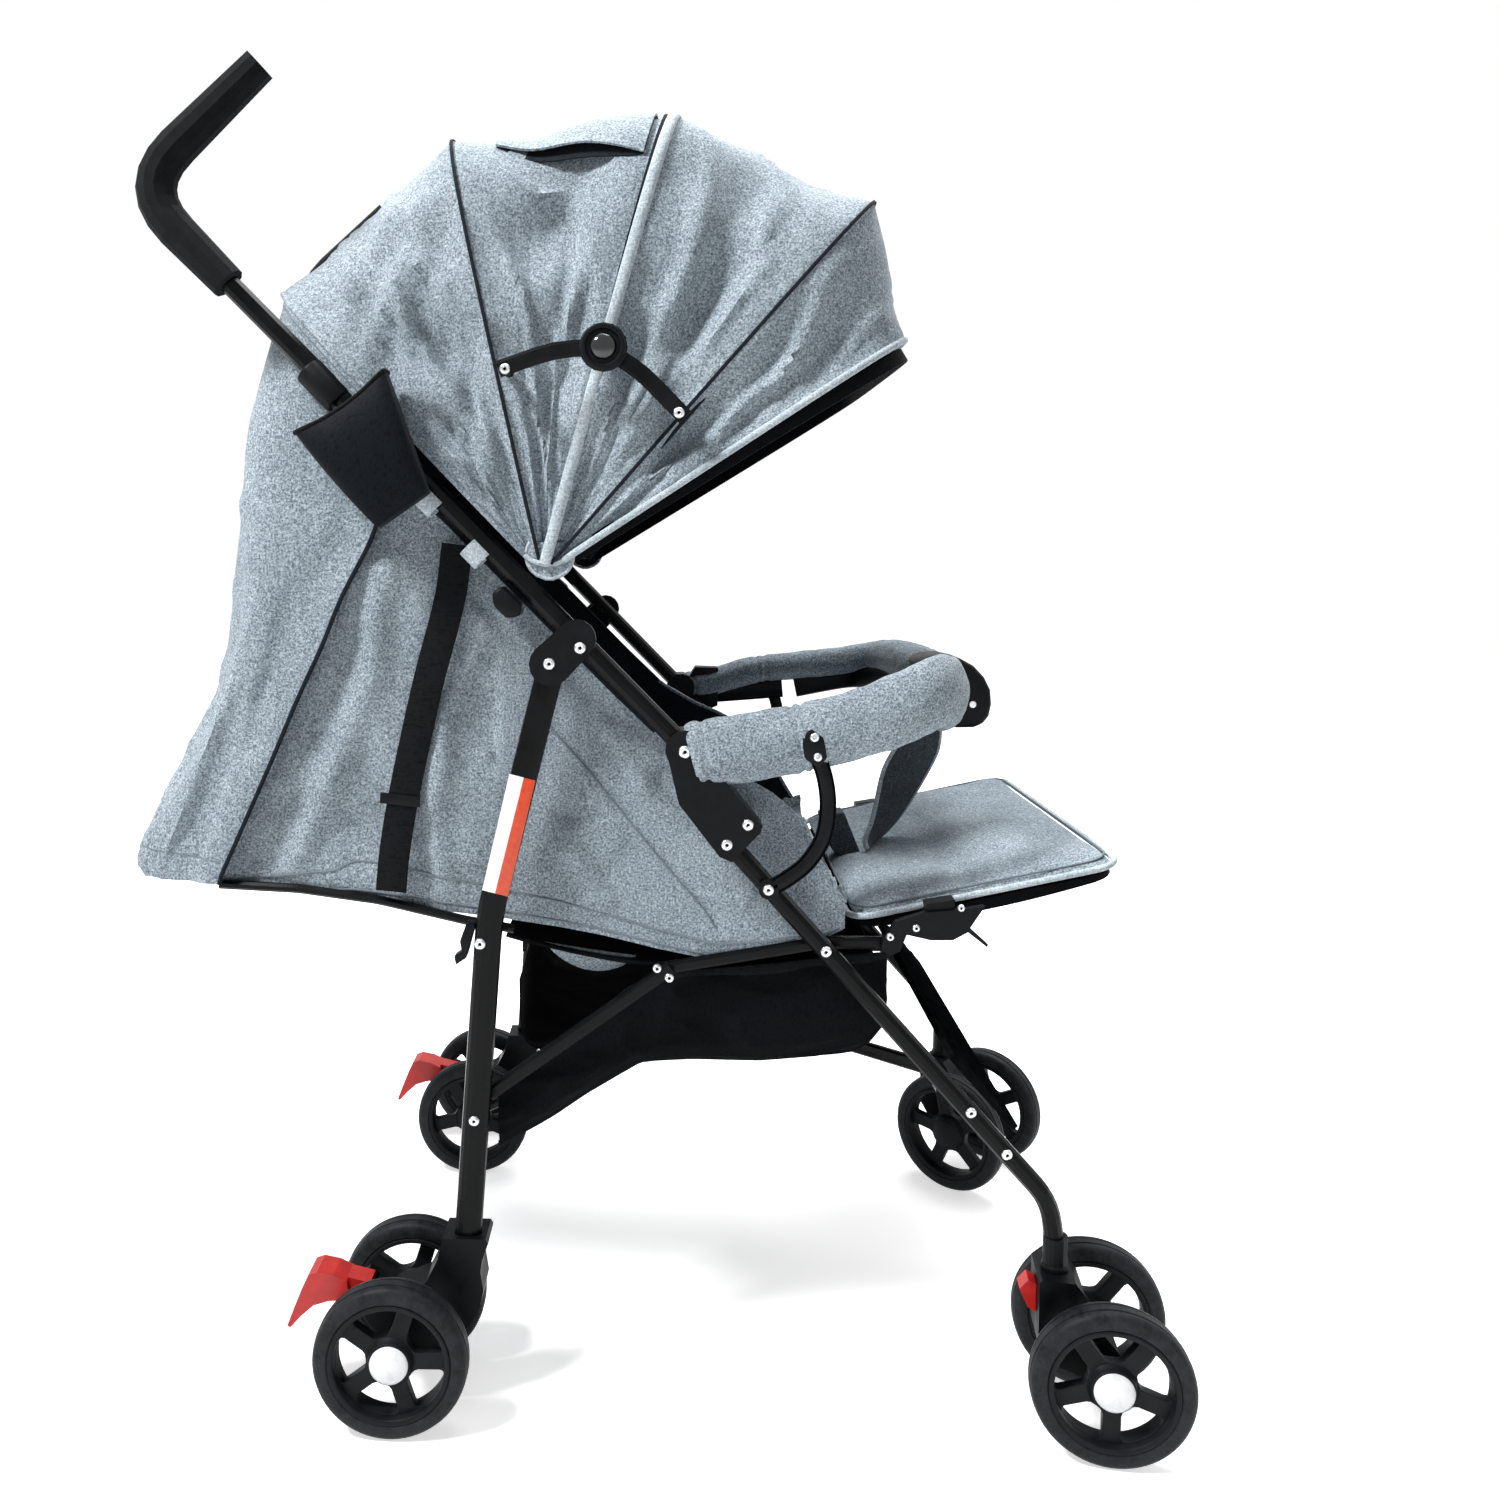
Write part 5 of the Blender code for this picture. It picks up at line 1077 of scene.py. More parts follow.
def pad(name, part, body, pressure, voxel):
    """A cloth pad that is swollen round its filling, in place of its body's plain one."""
    obj = make(name, part, HEATHER, sharp=70)
    puff(obj, pressure, 0.002, voxel)
    shade(obj, 70)
    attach(obj, body)
    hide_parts(body)
    close(obj)


def cushion(rows, columns, spot, thick):
    """A closed pad. For u and v from 0 to 1, spot gives its top point and way up, and thick its thickness."""
    top, bottom = [], []
    for i in range(rows):
        for j in range(columns):
            u, v = i / (rows - 1), j / (columns - 1)
            point, way = spot(u, v)
            top.append(Vector(point))
            bottom.append(Vector(point) - Vector(way) * thick(u, v))
    faces = grid_faces(rows, columns)
    count = rows * columns
    under = [tuple(i + count for i in face)[::-1] for face in faces]
    rim = list(range(columns)) + [i * columns + columns - 1 for i in range(1, rows)]
    rim += list(range(count - 2, count - columns - 1, -1)) + [i * columns for i in range(rows - 2, 0, -1)]
    wall = [(a, a + count, b + count, b) for a, b in zip(rim, rim[1:] + rim[:1])]
    return top + bottom, faces + under + wall


def rounded_box(u, v, half_u, half_v, corner):
    """Maps a square onto a rectangle with round corners: its place across and along, from its middle."""
    a, b = 2 * u - 1, 2 * v - 1
    x, y = a * half_u, b * half_v
    cx, cy = half_u - corner, half_v - corner
    if abs(x) > cx and abs(y) > cy:
        sx, sy = (abs(x) - cx) / corner, (abs(y) - cy) / corner
        longest, length = max(sx, sy), math.hypot(sx, sy)
        shrink = longest / length if length > 1e-9 else 1
        x = math.copysign(cx + sx * shrink * corner, x)
        y = math.copysign(cy + sy * shrink * corner, y)
    return x, y


# Leg rest: a soft pad with a piped edge on a black board
PAD_REAR = Vector((0.354, 0, 0.393))
PAD_FRONT = Vector((0.567, 0, 0.4415))
PAD_WAY = (PAD_FRONT - PAD_REAR).normalized()
PAD_UP = Vector((-PAD_WAY.z, 0, PAD_WAY.x))
PAD_LONG = (PAD_FRONT - PAD_REAR).length
PAD_HALF = 0.174
PAD_CORNER = 0.022


def pad_edge(u, v):
    """0 at the pad's edge and 1 a little way in."""
    return min(1, min(u, 1 - u) * 9, min(v, 1 - v) * 12)


def pad_spot(u, v):
    along, across = rounded_box(u, v, PAD_LONG / 2, PAD_HALF, PAD_CORNER)
    a, b = along + PAD_LONG / 2, across
    p = PAD_REAR + PAD_WAY * a + Vector((0, b, 0))
    crown = math.sin(math.pi * pad_edge(u, v) / 2)
    dents = wave(a * 16, b * 9, 2, 3) * 0.0055 + ridge(a * 12 + b * 9, b * 14 - a * 5, 4, 1) * 0.0022
    gather = 0.0022 * math.sin(b * 240 + wave(b * 30, a * 20, 0) * 4) * max(0, 1 - a / 0.05)
    rise = -0.006 + 0.0065 * crown + crown * (dents + gather) - 0.0035 * bump(a, 0.1, 0.012) * crown
    return p + PAD_UP * rise, PAD_UP


def pad_thick(u, v):
    return 0.0045 + 0.0085 * pad_edge(u, v)


pad("leg_rest_pad", cushion(46, 70, pad_spot, pad_thick), "leg_rest", 3.0, 0.0045)
steps = 160
outline = []
for i in range(steps):
    turn = i / steps * 4
    part = turn - int(turn)
    u, v = ((0, part), (part, 1), (1, 1 - part), (1 - part, 0))[int(turn)]
    along, across = rounded_box(u, v, PAD_LONG / 2 + 0.0005, PAD_HALF, PAD_CORNER)
    outline.append(PAD_REAR + PAD_WAY * (along + PAD_LONG / 2) + Vector((0, across, 0)) - PAD_UP * 0.0062)
trim("leg_rest_piping", sweep(outline, ring(0.0026, 10), PAD_UP, closed=True), PIPING, "leg_rest")
inner = [p + (PAD_REAR + PAD_WAY * PAD_LONG / 2 - p) * 0.045 + PAD_UP * 0.0045 for p in outline]
trim("leg_rest_stitch", sweep(inner, ring(0.0009, 6), PAD_UP, closed=True), THREAD, "leg_rest")


def board_spot(u, v):
    """The leg rest's board under its pad."""
    along, across = rounded_box(u, v, PAD_LONG / 2 - 0.004, PAD_HALF - 0.004, 0.02)
    a = along + PAD_LONG / 2
    belly = math.sin(math.pi * min(1, max(0, a / PAD_LONG)))
    return PAD_REAR + PAD_WAY * a + Vector((0, across, 0)) - PAD_UP * 0.0125, PAD_UP * (0.35 + 0.65 * belly)


board = cushion(24, 30, board_spot, lambda u, v: 0.009)
trim("leg_rest_board", board, OXFORD, "leg_rest", "black_cloth", sharp=50)


# Back: a flat quilted panel with a raised rim, on its two tubes
BACK_FOOT = Vector((0.084, 0, 0.387))
BACK_HEAD = Vector((-0.2, 0, 0.4245))
BACK_WAY = (BACK_HEAD - BACK_FOOT).normalized()
BACK_UP = Vector((BACK_WAY.z, 0, -BACK_WAY.x))
BACK_LONG = (BACK_HEAD - BACK_FOOT).length


def back_spot(u, v):
    """The quilted face of the back."""
    along, across = rounded_box(u, v, BACK_LONG / 2, 0.1695, 0.02)
    a = along + BACK_LONG / 2
    edge = min(1, min(u, 1 - u) * 8, min(v, 1 - v) * 8)
    quilt = 0.003 * (abs(math.sin(math.pi * (across + 0.17) / 0.085)) ** 0.5)
    quilt += wave(a * 14, across * 12, 3, 2) * 0.002
    return BACK_FOOT + BACK_WAY * a + Vector((0, across, 0)) + BACK_UP * (0.002 + quilt * edge), BACK_UP


pad("back_pad", cushion(50, 60, back_spot, lambda u, v: 0.009), "backrest", 2.5, 0.0055)
end = BACK_LONG * 0.985
half = [
    (0.02, -0.1685), (0.1, -0.169), (0.19, -0.1685), (end - 0.02, -0.168), (end, -0.15), (end, -0.07),
    (end, 0),
]
line = spaced(catmull(half + [(u, -v) for u, v in half[-2::-1]], 8), 90)
net = []
for i in range(24):
    t = i / 23
    row = []
    for u, v in line:
        high = 0.028 * t + 0.0015 * wave(u * 20, v * 20, t * 2)
        row.append(tuple(BACK_FOOT + BACK_WAY * u + BACK_UP * high + Vector((0, v, 0))))
    net.append(row)
cloth("back_rim", np.array(net), [HEATHER, LINING, LINING], 0.0018, ("from", (-0.05, 0, 0.43)),
      body="backrest")


# Footrest: a ribbed band between the two front legs
BAND_MIDDLE = Vector((0.4602, 0, 0.25445))
BAND_HALF = 0.038
BAND_WAY = Vector((0.672, 0, -0.7405))
BAND_UP = Vector((0.7405, 0, 0.672))
BAND_RISE = 0.0026
BAND_Y = 0.1885
section = []
for k in range(61):
    along = BAND_HALF * (2 * k / 60 - 1)
    rib = 0.0009 * max(0, math.cos(math.pi * along / 0.0062)) if abs(along) < 0.033 else 0
    section.append(BAND_MIDDLE + BAND_WAY * along + BAND_UP * (BAND_RISE + rib))
section += [BAND_MIDDLE + BAND_WAY * along - BAND_UP * BAND_RISE for along in (BAND_HALF, -BAND_HALF)]
band = slab([(p.x, p.z) for p in section], -BAND_Y, BAND_Y)
trim("footrest_band", band, TREAD, slot="moulding", sharp=40, replaces=["footrest"])


# Armrests and bumper bar: padded sleeves over flat black bars. Each row of a sleeve is x, y, z, its half
# height and its half width.
ARM_Y = 0.203
SLEEVE = [
    (0.2255, 0.2035, 0.5225, 0.0215, 0.0128), (0.232, 0.2035, 0.524, 0.0262, 0.0152),
    (0.262, 0.2035, 0.5285, 0.0266, 0.0152), (0.3, 0.2035, 0.5355, 0.0262, 0.015),
    (0.345, 0.203, 0.5465, 0.0265, 0.015), (0.375, 0.2025, 0.557, 0.027, 0.0154),
    (0.4, 0.198, 0.567, 0.0275, 0.0158), (0.418, 0.186, 0.573, 0.0285, 0.0162),
    (0.430, 0.165, 0.570, 0.0288, 0.0166), (0.4365, 0.13, 0.5635, 0.0282, 0.0168),
    (0.441, 0.09, 0.5555, 0.0278, 0.0166), (0.4455, 0.05, 0.5495, 0.0262, 0.0162),
    (0.448, 0.033, 0.5465, 0.0245, 0.0155), (0.449, 0.028, 0.5455, 0.0195, 0.012),
]
SLEEVE_FAR = [
    (0.2255, 0.2035, 0.5285, 0.0100, 0.011), (0.232, 0.2035, 0.5295, 0.0150, 0.0145),
    (0.262, 0.2035, 0.5350, 0.0155, 0.015), (0.3, 0.2035, 0.5465, 0.0150, 0.015),
    (0.345, 0.203, 0.5525, 0.0150, 0.015), (0.39, 0.202, 0.5570, 0.0158, 0.015),
    (0.415, 0.1975, 0.5610, 0.0165, 0.0155), (0.4325, 0.184, 0.5645, 0.0175, 0.0158),
    (0.443, 0.16, 0.5670, 0.0190, 0.016), (0.449, 0.13, 0.5675, 0.0200, 0.016),
    (0.4545, 0.09, 0.5665, 0.0215, 0.016), (0.46, 0.05, 0.5635, 0.0230, 0.0155),
    (0.463, 0.033, 0.5605, 0.0230, 0.015), (0.4645, 0.028, 0.5595, 0.019, 0.012),
]
SEAM_AT = 0.083


def sleeve(path, sign):
    """A stuffed cloth tube round the bar, taller than wide, nipped at the double seam and at the hem."""
    line = spaced(catmull(path, 9), 210)
    points, faces = [], []
    count = 40
    lengths = np.r_[0, np.cumsum(np.linalg.norm(np.diff(line[:, :3], axis=0), axis=1))]
    for i, (x, y, z, tall, wide) in enumerate(line):
        before, after = line[max(0, i - 1)], line[min(len(line) - 1, i + 1)]
        step = after - before
        tangent = Vector((step[0], sign * step[1], step[2])).normalized()
        across = tangent.cross(Vector((0, 0, 1))).normalized()
        up = across.cross(tangent)
        s = lengths[i]
        for j in range(count):
            turn = 2 * math.pi * j / count
            a, b = math.cos(turn), math.sin(turn)
            big = 1 + wave(s * 30, a * 2, b * 2, sign * 2 + 5) * 0.045
            big += wave(s * 75, a * 3 + s * 20, b * 3, 8) * 0.04
            big -= 0.085 * bump(s, SEAM_AT, 0.0022) + 0.085 * bump(s, SEAM_AT + 0.0078, 0.0022)
            big -= 0.07 * bump(s, 0.011, 0.0022)
            points.append(Vector((x, sign * y, z)) + across * a * wide * big + up * b * tall * big)
        if i:
            start = (i - 1) * count
            for j in range(count):
                k = (j + 1) % count
                faces.append((start + j, start + k, start + count + k, start + count + j))
    faces.append(tuple(range(count))[::-1])
    last = (len(line) - 1) * count
    faces.append(tuple(range(last, last + count)))
    return points, faces


def plate(name, outline, sign, near, far, body, bevel):
    """A moulded plate that stands from near to far out to its side."""
    make(name, slab(outline, sign * near, sign * far), ABS, body, "moulding", bevel=bevel)


for side, sign in SIDES:
    path = SLEEVE if side == "right" else SLEEVE_FAR
    tube = make(f"sleeve_{side}", sleeve(path, sign), HEATHER, sharp=70)
    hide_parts(f"armrest_{side}", f"bumper_{side}")
    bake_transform(tube)
    drop = 0 if side == "right" else 1
    bar = [(0.243, 0.5205), (0.29, 0.5295 - 0.005 * drop), (0.333, 0.5375 - 0.009 * drop)]
    bar = catmull([(x, sign * ARM_Y, z) for x, z in bar], 6)
    tongue = [
        (0.2295, 0.5075), (0.2295, 0.539), (0.237, 0.5435 + 0.007 * drop), (0.262, 0.546 + 0.004 * drop),
        (0.262, 0.508), (0.25, 0.503),
    ]
    hard = together([sweep(bar, strap(0.012, 0.022)), slab(tongue, sign * 0.1925, sign * 0.2125)])
    make(f"armrest_bar_{side}", hard, ABS, f"{side}_frame", "moulding", bevel=0.0012)
    # x, y, z and how much lower the bar lies on the left side
    turn_bar = [
        (0.347, 0.203, 0.5405, 0.011), (0.4, 0.199, 0.5595, 0.019), (0.422, 0.184, 0.566, 0.0235),
        (0.437, 0.155, 0.568, 0.0245), (0.449, 0.1, 0.5655, 0.0245), (0.46, 0.05, 0.5615, 0.0245),
        (0.464, 0.022, 0.559, 0.0245),
    ]
    turn_bar = catmull([(x, sign * y, z - fall * drop) for x, y, z, fall in turn_bar], 8)
    bar = sweep(turn_bar, strap(0.024, 0.011), (0, 0, 1))
    make(f"bumper_bar_{side}", bar, ABS, f"{side}_bumper", "moulding", bevel=0.0008)
    brace = [
        (0.3165, 0.5345), (0.3265, 0.513), (0.3305, 0.488), (0.3275, 0.463), (0.316, 0.443), (0.301, 0.43),
        (0.2862, 0.4212),
    ]
    brace = [(x, sign * 0.2105, z) for x, z in catmull(brace, 8)]
    foot = lathe([(0, -0.0026), (0.0078, -0.0026), (0.0078, 0.0026), (0, 0.0026)], brace[-1], count=30)
    hard = together([sweep(brace, strap(0.0052, 0.0125)), foot])
    make(f"armrest_brace_{side}", hard, ABS, f"{side}_frame", "moulding", bevel=0.0007)
    clip = [
        (0.3085, 0.541), (0.3165, 0.5475), (0.3255, 0.541), (0.3285, 0.525), (0.322, 0.5165),
        (0.3115, 0.524),
    ]
    plate(f"brace_clip_{side}", clip, sign, 0.2075, 0.2185, f"{side}_frame", 0.0016)
    studs = ((0.3185, 0.5405, 0.0036), (0.3212, 0.5255, 0.0034))
    studs = together([rivet(x, sign * 0.2185, z, sign, r) for x, z, r in studs])
    make(f"brace_studs_{side}", studs, ZINC, f"{side}_frame", "tube", sharp=50)

joint = [
    (0.4572, 0.5215), (0.472, 0.5198), (0.487, 0.5202), (0.4955, 0.5235), (0.501, 0.531), (0.503, 0.542),
    (0.5018, 0.555), (0.496, 0.5665), (0.486, 0.577), (0.474, 0.5835), (0.4604, 0.5863), (0.446, 0.5852),
    (0.435, 0.5805), (0.4395, 0.56), (0.446, 0.54),
]
make("bumper_joint", slab(joint, -0.026, 0.026), ABS, "right_bumper", "moulding", bevel=0.0045, sharp=50)
stud = [(0, 0.0), (0.003, 0.0), (0.0034, 0.0006), (0.003, 0.0014), (0, 0.0016)]
stud = lathe(stud, (0.485, -0.0262, 0.542), (0, -1, 0), 20)
make("bumper_joint_stud", stud, ZINC, "right_bumper", "tube", sharp=50)


# Crotch strap, its piping and the belt end. The strap's two edges are in x and z.
CROTCH_REAR = [
    (0.428, 0.5345), (0.4249, 0.507), (0.4095, 0.4765), (0.3995, 0.4345), (0.3915, 0.413), (0.3935, 0.4045),
]
CROTCH_FRONT = [
    (0.4615, 0.5345), (0.4622, 0.5046), (0.4561, 0.4828), (0.4312, 0.435), (0.4145, 0.4125),
    (0.4035, 0.4045),
]
rows, columns = 44, 15
rear, front = (spaced(catmull(line, 10), rows) for line in (CROTCH_REAR, CROTCH_FRONT))
crotch = np.zeros((rows, columns, 3))
for i in range(rows):
    for j in range(columns):
        t, w = i / (rows - 1), j / (columns - 1)
        x, z = rear[i] + (front[i] - rear[i]) * w
        turn = 0.006 + 0.03 * t**2
        belly = 0.004 * math.sin(math.pi * w) * math.sin(math.pi * t)
        crotch[i, j] = (x, (w - 0.5) * turn - belly, z)
for label, column in (("right", crotch[:, 0]), ("left", crotch[:, -1])):
    trim(f"crotch_piping_{label}", sweep(spaced(column, 60), ring(0.0023, 8)), PIPING)
cloth("crotch_strap", crotch, [CHARCOAL] * 3, 0.0035, ("along", (0, -1, 0)),
      replaces=["crotch_strap"])
belt = [(0.350, 0.434), (0.3725, 0.4375), (0.389, 0.3975), (0.372, 0.394), (0.3615, 0.402)]
trim("belt_end", slab(belt, -0.012, 0.012), CHARCOAL, slot="charcoal_cloth", bevel=0.0015)


# Basket: a slack black sling that hangs from the rails and struts. Its sides' edges are in x and z.
BASKET_TOP = [
    (0.074, 0.243), (0.1, 0.262), (0.14, 0.2925), (0.18, 0.323), (0.205, 0.335), (0.25, 0.3385),
    (0.3, 0.344), (0.352, 0.3515), (0.386, 0.354),
]
BASKET_LOW = [
    (0.074, 0.196), (0.106, 0.2145), (0.145, 0.2395), (0.1875, 0.2625), (0.23, 0.2655), (0.285, 0.2655),
    (0.33, 0.27), (0.358, 0.2755), (0.372, 0.281), (0.386, 0.3),
]
BASKET_REAR, BASKET_FRONT = 0.074, 0.386
rows, columns = 30, 110
for side, sign in SIDES:
    net = np.zeros((rows, columns, 3))
    for j in range(columns):
        x = BASKET_REAR + (BASKET_FRONT - BASKET_REAR) * j / (columns - 1)
        low, high = table(BASKET_LOW, x), table(BASKET_TOP, x)
        wide = 0.1655 + 0.0125 * max(0, min(1, (0.2 - x) / 0.08))
        for i in range(rows):
            t = i / (rows - 1)
            z = low + (high - low) * t
            slack = math.sin(math.pi * t) ** 0.8
            fold = wave(x * 20, z * 26, sign, 1) * 0.0045
            fold += ridge(x * 12 - z * 20, z * 34 + x * 9, sign, 6) * 0.003
            bulge = 0.004 * slack - 0.004 * max(0, 1 - t * 5)
            net[i, j] = (x, sign * (wide + bulge + fold * slack), z)
    for label, row, wide, thick in (("binding", -1, 0.009, 0.003), ("hem", 1, 0.0045, 0.0032)):
        edge = sweep(spaced(net[row], 80), strap(wide, thick), (0, 0, 1))
        trim(f"basket_{label}_{side}", edge, WEBBING, slot="black_cloth")
    cloth(f"basket_side_{side}", net, BLACK, 0.0018, ("along", (0, sign, 0)))
rows, columns = 60, 61
net = np.zeros((rows, columns, 3))
SLING = [
    (0.089, 0.33), (0.0905, 0.29), (0.1, 0.274), (0.13, 0.271), (0.2, 0.2708), (0.3, 0.2708),
    (0.352, 0.2745), (0.371, 0.283), (0.3835, 0.305), (0.386, 0.3365),
]
line = spaced(catmull(SLING, 10), rows)
for i, (x, z) in enumerate(line):
    for j in range(columns):
        y = -0.1645 + 0.329 * j / (columns - 1)
        mid = math.sin(math.pi * j / (columns - 1)) ** 0.5
        rumple = max(0, wave(x * 18, y * 14, 4, 2)) * 0.006 + max(0, ridge(x * 14, y * 20, 1, 2)) * 0.002
        upright = 1 if z > 0.29 else 0
        bow = upright * wave(y * 18, z * 20, 1) * 0.003 * mid
        net[i, j] = (x + bow, y, z + (0 if upright else rumple * mid))
cloth("basket_sling", net, BLACK, 0.0018, ("from", (0.24, 0, 0.36)), replaces=["basket"])


# The seat's black underside, and the patch of its light cloth that hangs below the right rail
rows, columns = 26, 61
net = np.zeros((rows, columns, 3))
UNDER = [
    (0.078, 0.3675), (0.11, 0.36), (0.15, 0.352), (0.19, 0.3475), (0.24, 0.35), (0.3, 0.358),
    (0.35, 0.3655),
]
line = spaced(catmull(UNDER, 8), rows)
for i, (x, z) in enumerate(line):
    for j in range(columns):
        y = -0.1712 + 0.3424 * j / (columns - 1)
        rise = z + 0.004 * math.sin(math.pi * j / (columns - 1))
        net[i, j] = (x, y, rise + wave(x * 20, y * 18, 3) * 0.0025)
cloth("seat_underside", net, BLACK, 0.0018, ("along", (0, 0, -1)))
rows, columns = 10, 31
net = np.zeros((rows, columns, 3))
for i in range(rows):
    for j in range(columns):
        t, s = i / (rows - 1), j / (columns - 1)
        sag = 0.021 * math.sin(math.pi * s) ** 0.6 if 0 < j < columns - 1 else 0.002
        net[i, j] = (0.108 + 0.075 * s, -0.166 + 0.012 * t, 0.361 - 0.01 * s - sag * t)
cloth("seat_droop", net, FABRIC, 0.0014, ("along", (0, -1, 0)))


# Pouch on the handle, open at the top
POUCH_CORNERS = [(-0.075, 0.766), (-0.006, 0.814), (0.026, 0.724), (-0.014, 0.696)]
POUCH_IN, POUCH_OUT = 0.2098, 0.2295
POUCH_SQUARE = 0.42


def pouch_net(rows=30, columns=72):
    """Rings from the mouth down to the base, each a rounded box, a little fuller in the middle."""
    a, b, c, d = (np.array(p) for p in POUCH_CORNERS)
    net = []
    for i in range(rows):
        t = i / (rows - 1)
        rear_edge, front_edge = a + (d - a) * t, b + (c - b) * t
        swell = math.sin(math.pi * min(1, t * 0.9 + 0.1)) ** 0.6
        inner, outer = POUCH_IN, POUCH_OUT + 0.0145 * swell
        row = []
        for j in range(columns):
            turn = 2 * math.pi * j / columns
            across, out = math.cos(turn), math.sin(turn)
            across = math.copysign(abs(across) ** POUCH_SQUARE, across)
            out = math.copysign(abs(out) ** POUCH_SQUARE, out)
            lip = 0.006 * (1 - t) ** 6 * (1 - across**2)
            point = (rear_edge + front_edge) / 2
            point = point + (front_edge - rear_edge) / 2 * across * (0.97 + 0.03 * swell)
            down = (d - a) / np.linalg.norm(d - a)
            point = point + down * lip * (1 if out > 0 else 0.3)
            row.append((point[0], -(inner + outer) / 2 - out * (outer - inner) / 2, point[1]))
        net.append(row)
    return np.array(net)


net = pouch_net()
rows, columns = net.shape[:2]
points = [Vector(p) for p in net.reshape(-1, 3)]
faces = []
for i in range(rows - 1):
    for j in range(columns):
        a, b, k = i * columns, (i + 1) * columns, (j + 1) % columns
        faces.append((a + j, a + k, b + k, b + j))
faces.append(tuple(range((rows - 1) * columns, rows * columns)))
bag = make("pouch_bag", (points, faces), POUCH)
thick = bag.modifiers.new("thickness", "SOLIDIFY")
thick.thickness = 0.0016
thick.offset = -1
apply_modifiers(bag)
shade(bag, 50)
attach(bag, "right_frame")
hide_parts("pouch")
lip = sweep(net[0], ring(0.0016, 8), closed=True)
make("pouch_binding", lip, WEBBING, "right_frame", "black_cloth")
collar = [
    (0.0088, -0.017), (0.0112, -0.017), (0.0118, -0.0155), (0.0118, 0.0155), (0.0112, 0.017),
    (0.0088, 0.017),
]
collar = lathe(collar, (-0.0605, -0.2, 0.8055), (0.707, 0, -0.707), closed=True)
make("handle_collar", collar, ABS, "right_frame", "moulding", sharp=35)


# Recline straps, with their sliders
STRAP_PATH = [
    (0.041, 0.684), (0.035, 0.64), (0.017, 0.57), (-0.001, 0.486), (-0.0085, 0.44), (-0.0115, 0.408),
]
STRAP_Y = 0.1893
for side, sign in SIDES:
    line = spaced(catmull([(x, sign * STRAP_Y, z) for x, z in STRAP_PATH], 8), 60)
    webbing = sweep(line, strap(0.0245, 0.0016), (1, 0, 0.15))
    band = make(f"recline_webbing_{side}", webbing, WEBBING, sharp=50)
    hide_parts(f"recline_strap_{side}")
    slide = [(-0.02, 0.479), (0.012, 0.476), (0.0115, 0.4845), (-0.0195, 0.4875)]
    slide = slab(slide, sign * 0.1885, sign * 0.1915)
    slider = make(f"recline_slider_{side}", slide, ABS, bevel=0.0006)
    start, end = (Vector((x, sign * 0.19, z)) + ORIGIN for x, z in ((0.03, 0.62), (-0.011, 0.412)))
    for piece, slot in ((band, "black_cloth"), (slider, "moulding")):
        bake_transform(piece)


# Small things: knob domes, label, tabs and clip on the handle tube
for side, sign in SIDES:
    knob = (0.157, sign * 0.2413, 0.83)
    dome = [(0, 0.0052), (0.0045, 0.0048), (0.008, 0.0034), (0.0098, 0.001), (0.01, -0.0008), (0, -0.0008)]
    dome = lathe([(r, sign * a) for r, a in dome], knob, count=40)
    make(f"knob_dome_{side}", dome, GLOSS, f"{side}_stretcher_rear", "moulding", sharp=60)
    lip = [(0.0128, -0.0006), (0.0132, 0.0012), (0.0146, 0.0018), (0.0162, 0.0012), (0.0166, -0.0006)]
    lip = lathe([(r, sign * a) for r, a in lip], knob, count=48, closed=True)
    make(f"knob_ring_{side}", lip, ABS, f"{side}_stretcher_rear", "moulding", sharp=50)
LABEL_TOP, LABEL_HALF = (0.0952, 0.5045), 0.0104
corners = []
for (x, z), order in ((LABEL_SPLIT, (-1, 1)), (LABEL_TOP, (1, -1))):
    corners += [(x + LABEL_HALF * k * 0.972, z - LABEL_HALF * k * 0.2356) for k in order]
make("label_right", slab(corners, -0.2068, -0.2073), LABEL, "right_rear_leg", "cloth", bevel=0.0001)

for side, sign in SIDES:
    tabs = []
    for x, z, wide in ((0.0242, 0.7205, 0.0185), (0.061, 0.6804, 0.0165)):
        ring_line = []
        for i in range(25):
            turn = math.radians(-150 + 300 * i / 24)
            out = Vector((0.7065, 0, 0.7077)) * math.cos(turn) * 0.0098
            out += Vector((0, sign, 0)) * math.sin(turn) * -0.0098
            ring_line.append(Vector((x - 0.003, sign * 0.2, z - 0.003)) + out)
        tabs.append(sweep(ring_line, strap(wide, 0.0014), (0.7077, 0, -0.7065)))
    make(f"handle_tabs_{side}", together(tabs), PIPING, f"{side}_frame", "cloth", sharp=50)
    clip = [
        (0.0715, 0.6475), (0.0785, 0.6525), (0.0955, 0.6375), (0.0925, 0.6295), (0.0825, 0.628),
        (0.0725, 0.6375),
    ]
    plate(f"canopy_clip_{side}", clip, sign, 0.1895, 0.2115, f"{side}_frame", 0.0025)
    lug = [
        (0.043, 0.3545), (0.0515, 0.3605), (0.0585, 0.387), (0.0515, 0.389), (0.046, 0.3735),
        (0.0475, 0.3655), (0.0415, 0.3615),
    ]
    plate(f"rear_leg_lug_{side}", lug, sign, 0.195, 0.205, f"{side}_rear_leg", 0.0012)


# Vent flap over the crown, with a dark sheet under its edge as painted shade in the gap
FLAP_TURNS = np.linspace(76.8, 97.0, 24)
FLAP_COLUMNS = 61


